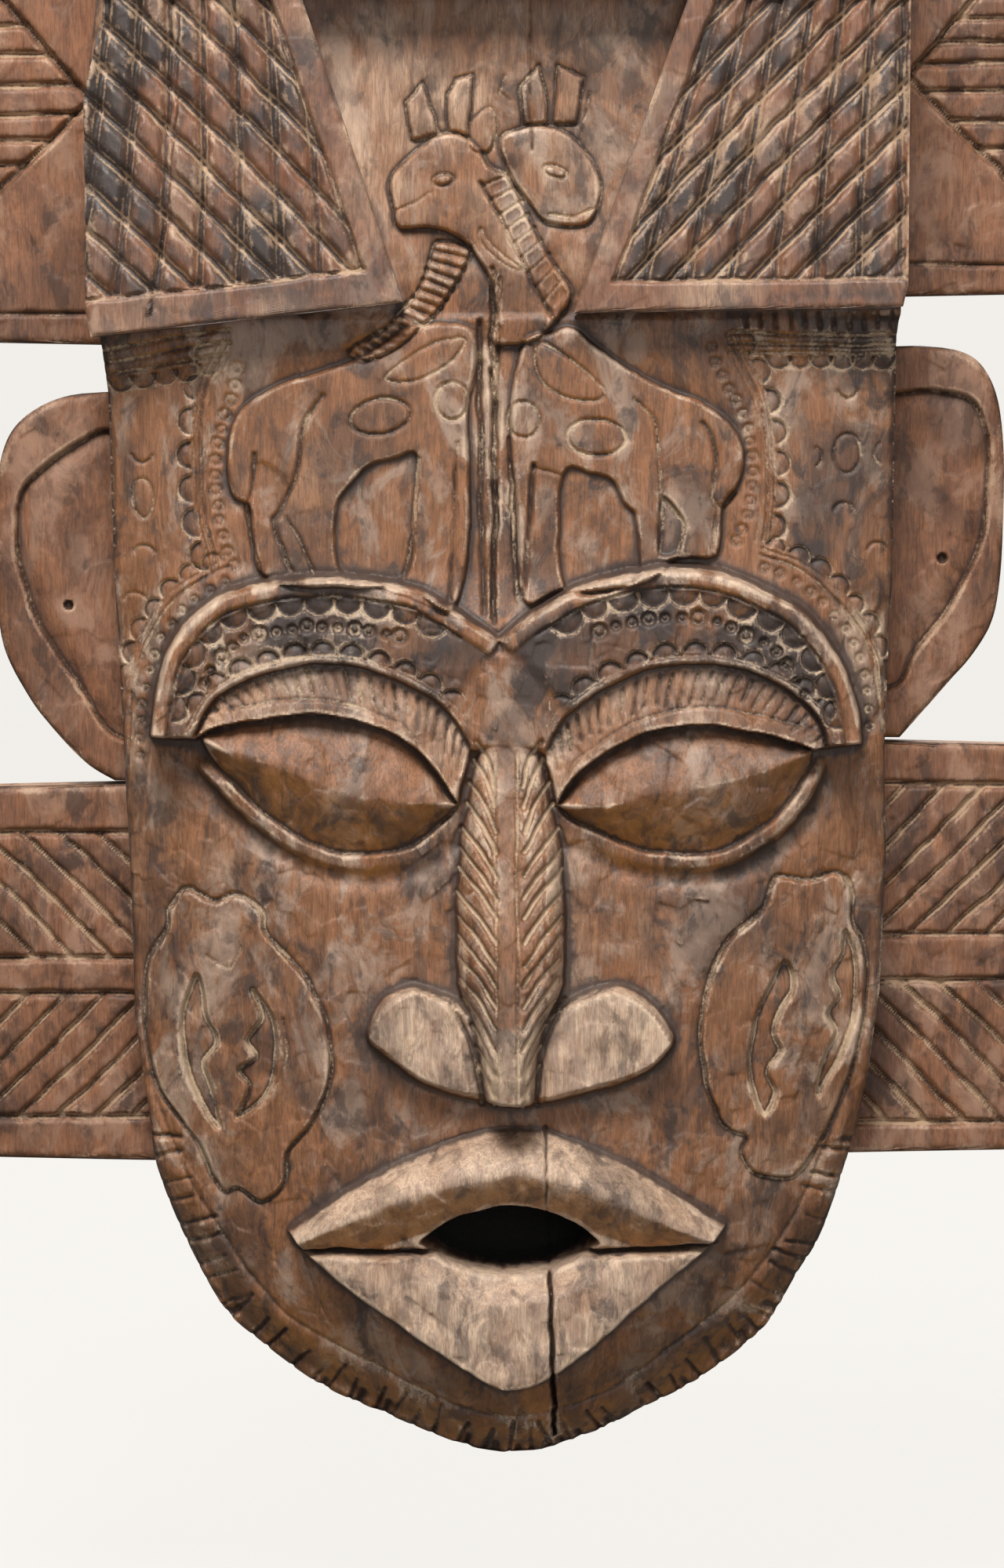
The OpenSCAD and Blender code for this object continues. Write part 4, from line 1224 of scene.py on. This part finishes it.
def wood_group():
    """Shared group: broad and fine grain, patches of grime, a dry film, speckle, how far the surface looks
    down, and a height for bumps."""
    g = bpy.data.node_groups.new("wood_marks", "ShaderNodeTree")
    for name in ("Grain", "Fibre", "Grime", "Film", "Speckle", "Under", "Height"):
        g.interface.new_socket(name, in_out="OUTPUT", socket_type="NodeSocketFloat")
    out = g.nodes.new("NodeGroupOutput")
    place = g.nodes.new("ShaderNodeTexCoord").outputs["Object"]
    grain = noise(g, place, 170, 8, 0.72, (1, 1, 0.22), 1.0)
    fibre = noise(g, place, 1500, 4, 0.6, (1, 1, 0.09), 0.2)
    large = noise(g, place, 26, 9, 0.60, (1, 1, 0.75), 0.9)
    small = noise(g, place, 105, 8, 0.66, (1, 1, 0.55), 0.6)
    film = noise(g, place, 48, 9, 0.68, (1, 1, 0.6), 0.7)
    speckle = noise(g, place, 900, 4, 0.75)
    grime = maths(g, "MULTIPLY_ADD", ramp(g, large, 0.47, 0.60), 0.60,
                  maths(g, "MULTIPLY", ramp(g, small, 0.50, 0.62), 0.60), clamp=True)
    facing = g.nodes.new("ShaderNodeSeparateXYZ")
    g.links.new(g.nodes.new("ShaderNodeNewGeometry").outputs["Normal"], facing.inputs["Vector"])
    down = maths(g, "MULTIPLY", facing.outputs["Z"], -1.0)
    g.links.new(ramp(g, grain, 0.36, 0.64), out.inputs["Grain"])
    g.links.new(ramp(g, fibre, 0.42, 0.66), out.inputs["Fibre"])
    g.links.new(grime, out.inputs["Grime"])
    g.links.new(ramp(g, film, 0.48, 0.61), out.inputs["Film"])
    g.links.new(ramp(g, speckle, 0.40, 0.64), out.inputs["Speckle"])
    g.links.new(ramp(g, down, 0.16, 0.62), out.inputs["Under"])
    low = maths(g, "MULTIPLY_ADD", grain, 0.8, maths(g, "MULTIPLY", fibre, 0.35))
    high = maths(g, "MULTIPLY_ADD", small, 0.9, maths(g, "MULTIPLY_ADD", speckle, 0.25, low))
    g.links.new(high, out.inputs["Height"])
    return g


WOOD = wood_group()


def carved_material(name, pale, mid, dark, stain, dust, worn, down_shade, rough=0.52, gloss=0.35, dirt=0.5):
    """Old wood with an oil finish. The carve attribute says where pale dust lies, where edges are rubbed
    bare, where hollows get painted shade with grime, and how much stain is left, painted shade in the
    holes included. Surfaces that look down get a painted golden shade."""
    m, t, p = new_material(name)
    marks = t.nodes.new("ShaderNodeGroup")
    marks.node_tree = WOOD
    a = t.nodes.new("ShaderNodeAttribute")
    a.attribute_name = "carve"
    split = t.nodes.new("ShaderNodeSeparateColor")
    t.links.new(a.outputs["Color"], split.inputs["Color"])
    lime, edge, cavity = (split.outputs[i] for i in range(3))
    tone = a.outputs["Alpha"]
    grain, fibre, grime, film, speckle, under = (marks.outputs[i] for i in range(6))

    def part(mask, share):
        return maths(t, "MULTIPLY", mask, share)

    wood = mix(t, part(grain, 0.75), mid, dark)
    wood = mix(t, part(fibre, 0.42), wood, stain)
    wood = mix(t, part(film, 0.66), wood, pale)
    # bare wood where the stain is worn off, and painted shade, golden and darker, where the surface looks
    # down
    raw = mix(t, part(fibre, 0.5), mix(t, grain, worn, pale), mid)
    wood = mix(t, part(ramp(t, tone, 0.50, 0.18), 0.9), wood, raw)
    wood = mix(t, part(under, 0.8), wood, mix(t, part(grain, 0.5), down_shade, dark))
    # stain, grime, and painted shade with grime in the hollows; the tone also brings painted shade
    stained = maths(t, "MULTIPLY_ADD", grime, 0.30, tone)
    wood = mix(t, ramp(t, stained, 0.62, 1.15), wood, stain)
    wood = mix(t, part(grime, dirt), wood, stain)
    hollow = maths(t, "MULTIPLY_ADD", grime, 0.25, cavity)
    wood = mix(t, part(ramp(t, hollow, 0.10, 0.80), 0.84), wood, stain)
    # rubbed edges and pale dust in the cuts, both broken up by the film and the speckle
    rubbed = maths(t, "MULTIPLY_ADD", film, 0.30, maths(t, "MULTIPLY_ADD", speckle, 0.2, edge))
    wood = mix(t, part(ramp(t, rubbed, 0.50, 1.0), 0.75), wood, mix(t, grain, worn, pale))
    powder = maths(t, "MULTIPLY_ADD", film, 0.3, maths(t, "MULTIPLY_ADD", speckle, 0.25, lime))
    wood = mix(t, part(ramp(t, powder, 0.45, 1.0), 0.8), wood, dust)
    # painted shade: the darkest tone, in the mouth pit and the ear holes, turns black
    hole_shade = ramp(t, tone, 1.25, 1.5)
    wood = mix(t, hole_shade, wood, (0.002, 0.0015, 0.001))
    t.links.new(wood, p.inputs["Base Color"])
    shine = maths(t, "MULTIPLY_ADD", speckle, 0.16, rough)
    shine = maths(t, "MULTIPLY_ADD", lime, 0.25, shine)
    shine = maths(t, "MULTIPLY_ADD", hole_shade, 0.5, shine, clamp=True)
    t.links.new(shine, p.inputs["Roughness"])
    p.inputs["Specular IOR Level"].default_value = gloss
    bumped(t, p, marks.outputs["Height"], 0.6, 0.0007)
    return m


def shade(r, g, b):
    """A colour given as it looks on a screen, 0-255, as the linear values a shader takes."""
    return tuple(((v / 255 + 0.055) / 1.055)**2.4 for v in (r, g, b))


def steel_material(name, colour, rough, rust):
    """Plain hardware, with a little rust in patches."""
    m, t, p = new_material(name)
    place = t.nodes.new("ShaderNodeTexCoord").outputs["Object"]
    spots = noise(t, place, 260, 4, 0.6)
    patch = maths(t, "MULTIPLY", ramp(t, spots, 0.52, 0.66), rust)
    t.links.new(mix(t, patch, colour, shade(112, 66, 38)), p.inputs["Base Color"])
    t.links.new(maths(t, "SUBTRACT", 0.95, patch), p.inputs["Metallic"])
    t.links.new(maths(t, "MULTIPLY_ADD", patch, 0.4, rough), p.inputs["Roughness"])
    bumped(t, p, spots, 0.2, 0.0002)
    return m


def raw_material(name, pale, dark):
    """Unfinished softwood, for the brace and the dowels."""
    m, t, p = new_material(name)
    place = t.nodes.new("ShaderNodeTexCoord").outputs["Object"]
    lines = noise(t, place, 70, 5, 0.6, (0.06, 1, 1), 0.5)
    t.links.new(mix(t, ramp(t, lines, 0.38, 0.62), pale, dark), p.inputs["Base Color"])
    p.inputs["Roughness"].default_value = 0.75
    bumped(t, p, lines, 0.25, 0.0004)
    return m


def dress(obj, material):
    """Gives an object one finish."""
    obj.data.materials.clear()
    obj.data.materials.append(material)


BLOCK_WOOD = carved_material("block_wood", pale=shade(172, 148, 130), mid=shade(158, 108, 73),
                             dark=shade(112, 72, 45), stain=shade(64, 52, 47), dust=shade(200, 174, 144),
                             worn=shade(224, 196, 168), down_shade=shade(172, 116, 52), rough=0.44,
                             gloss=0.5, dirt=0.68)
PANEL_WOOD = carved_material("panel_wood", pale=shade(164, 134, 114), mid=shade(146, 100, 74),
                             dark=shade(104, 68, 50), stain=shade(68, 58, 54), dust=shade(188, 158, 128),
                             worn=shade(204, 172, 142), down_shade=shade(116, 80, 48), rough=0.38, gloss=0.55,
                             dirt=0.65)
BOARD_WOOD = carved_material("board_wood_finish", pale=shade(160, 124, 102), mid=shade(150, 102, 72),
                             dark=shade(112, 74, 54), stain=shade(64, 46, 38), dust=shade(180, 150, 120),
                             worn=shade(198, 166, 138), down_shade=shade(124, 84, 48), rough=0.48, gloss=0.4,
                             dirt=0.6)
RAW_WOOD = raw_material("raw_wood_finish", shade(206, 172, 128), shade(168, 128, 86))
NAIL = steel_material("nail_finish", shade(120, 116, 112), 0.42, 0.6)
SCREW = steel_material("screw_finish", shade(168, 166, 160), 0.30, 0.15)
HANGER = steel_material("hanger_finish", shade(176, 160, 118), 0.32, 0.15)


# ---------------------------------------------------------------- pieces

carving = carve_block()
for name, low, high in (("carved_jaw", None, -38), ("carved_brow", -38, 90), ("carved_crown", 90, None)):
    part = make_carved(name, BLOCK, carving, 0.55, block_back, "mask", ["face_block"],
                       PIECE_LIMIT, 1.2, low, high)
    dress(part, BLOCK_WOOD)
left_panel = make_carved("lattice_panel_left", LEFT_PANEL, carve_left_panel(), 0.6, flat_back(SEAT), "mask",
                         ["left_crown_panel"])
right_panel = make_carved("lattice_panel_right", RIGHT_PANEL, carve_right_panel(), 0.6, flat_back(SEAT),
                          "mask", ["right_crown_panel"])
rail = make_carved("top_rail", RAIL, carve_rail(), 0.8, flat_back(SEAT), "mask", ["crown_rail"])
for panel in (left_panel, right_panel, rail):
    dress(panel, PANEL_WOOD)

ear_l = make_carved("ear_board_left", EAR_LEFT,
                    carve_ear(EAR_LEFT, [(-100, 135), (-150, 135), (-163, 131), (-173, 124), (-184, 115),
                                         (-188, 104), (-188, 84), (-183, 66), (-176, 52), (-163, 33),
                                         (-148, 14), (-100, 14)], (-168.6, 66.6)),
                    0.7, flat_back(), "mask", ["left_ear"], None, 0.8)
ear_r = make_carved("ear_board_right", EAR_RIGHT,
                    carve_ear(EAR_RIGHT, [(100, 149), (150, 149), (168, 150), (182, 146), (188, 134),
                                          (189, 116), (187, 96), (181, 79), (172, 63), (160, 47), (150, 33),
                                          (100, 33)], (171, 84.9)),
                    0.7, flat_back(), "mask", ["right_ear"], None, 0.8)
outline = wing_outline(-1, 166.5, 318)
wing_l = make_carved("wing_board_left", outline,
                     carve_upper_wing(-1, 180, (-158, 261), (-191, 298), (-192, 228), outline),
                     0.8, flat_back(), "mask", ["left_upper_wing"], None, 0.8)
outline = wing_outline(1, 185, 318)
wing_r = make_carved("wing_board_right", outline,
                     carve_upper_wing(1, 199, (156, 270), (181, 299), (192, 234), outline),
                     0.8, flat_back(), "mask", ["right_upper_wing"], None, 0.8)
outline = wing_outline(-1, -152.5, -2.6)
low_l = make_carved("low_board_left", outline,
                    carve_lower_wing(-1, outline, (-21.5, -71.5, -85.5, -134.5), (1, -1)),
                    0.8, flat_back(), "mask", ["left_lower_wing"], None, 0.8)
outline = wing_outline(1, -149.5, 14)
low_r = make_carved("low_board_right", outline,
                    carve_lower_wing(1, outline, (-3, -62.5, -80.5, -136.5), (-1, 1)),
                    0.8, flat_back(), "mask", ["right_lower_wing"], None, 0.8)
for board in (ear_l, ear_r, wing_l, wing_r, low_l, low_r):
    dress(board, BOARD_WOOD)

FINISHES = {"crown_dowels": RAW_WOOD, "cross_batten": RAW_WOOD, "batten_screws": SCREW,
            "left_board_nails": NAIL, "right_board_nails": NAIL, "hanger_plate": HANGER,
            "hanger_screws": SCREW, "hanger_ring": HANGER}
for name, finish in FINISHES.items():
    dress(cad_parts[name], finish)


# ---------------------------------------------------------------- stage

PAPER = (0.913, 0.888, 0.847)  # how the backdrop looks to the camera


def stage_bowl():
    """A pale floor disc that curves up all round into a wall, so every side has the same backdrop."""
    floor, flat, bend, top = -0.36, 4.2, 0.8, 6.0
    a = np.linspace(0, math.pi / 2, 12)
    radius = np.r_[0.01, flat * 0.5, flat + bend * np.sin(a), flat + bend]
    height = np.r_[floor, floor, floor + bend * (1 - np.cos(a)), top]
    turn = np.linspace(0, 2 * math.pi, 96, endpoint=False)
    points = np.stack([np.outer(radius, np.cos(turn)), np.outer(radius, np.sin(turn)),
                       np.repeat(height[:, None], 96, 1)], -1).reshape(-1, 3)
    i = np.arange(len(radius) * 96).reshape(len(radius), 96)
    ahead = np.roll(i, -1, 1)
    faces = np.stack([i[:-1], i[1:], ahead[1:], ahead[:-1]], -1).reshape(-1, 4).tolist()
    faces.append(i[0].tolist())
    mesh = bpy.data.meshes.new("backdrop")
    mesh.from_pydata(points.tolist(), [], faces)
    mesh.polygons.foreach_set("use_smooth", np.ones(len(faces), bool))
    obj = bpy.data.objects.new("backdrop", mesh)
    bpy.context.scene.collection.objects.link(obj)
    m, t, p = new_material("backdrop_paint")
    p.inputs["Base Color"].default_value = (0.06, 0.06, 0.06, 1)
    p.inputs["Roughness"].default_value = 1.0
    p.inputs["Specular IOR Level"].default_value = 0.0
    p.inputs["Emission Color"].default_value = (*PAPER, 1)
    seen = t.nodes.new("ShaderNodeLightPath").outputs["Is Camera Ray"]
    t.links.new(maths(t, "MULTIPLY_ADD", seen, 0.84, 0.11), p.inputs["Emission Strength"])
    obj.data.materials.append(m)


def light(name, place, aim, size, power, colour=(1, 1, 1)):
    """A square soft light that faces its aim."""
    data = bpy.data.lights.new(name, "AREA")
    data.energy = power
    data.size = size
    data.color = colour
    obj = bpy.data.objects.new(name, data)
    bpy.context.scene.collection.objects.link(obj)
    obj.location = place
    obj.rotation_euler = (Vector(aim) - Vector(place)).to_track_quat("-Z", "Y").to_euler()
    return obj


stage_bowl()
light("sky_panel", (-0.25, -1.35, 1.75), (0, 0, 0), 0.8, 61, (1, 0.985, 0.96))
light("front_fill", (0.5, -3.0, 0.1), (0, 0, 0), 1.6, 27)
light("back_fill", (0.6, 1.6, 1.9), (0, 0, 0), 1.4, 40)
world = bpy.context.scene.world or bpy.data.worlds.new("world")
bpy.context.scene.world = world
world.use_nodes = True
world.node_tree.nodes["Background"].inputs[0].default_value = (1, 0.99, 0.97, 1)
world.node_tree.nodes["Background"].inputs[1].default_value = 0.3
bpy.context.scene.view_settings.view_transform = "Standard"

camera_data = bpy.data.cameras.new("camera")
camera_data.lens = 100
camera_data.sensor_width = 36
camera = bpy.data.objects.new("camera", camera_data)
bpy.context.scene.collection.objects.link(camera)
RANGE, TILT = 1.667, math.radians(5.5)
aim = Vector((0, -0.05, 0.0))
camera.location = aim + Vector((0, -RANGE * math.cos(TILT), RANGE * math.sin(TILT)))
camera.rotation_euler = (aim - camera.location).to_track_quat("-Z", "Y").to_euler()
bpy.context.scene.camera = camera
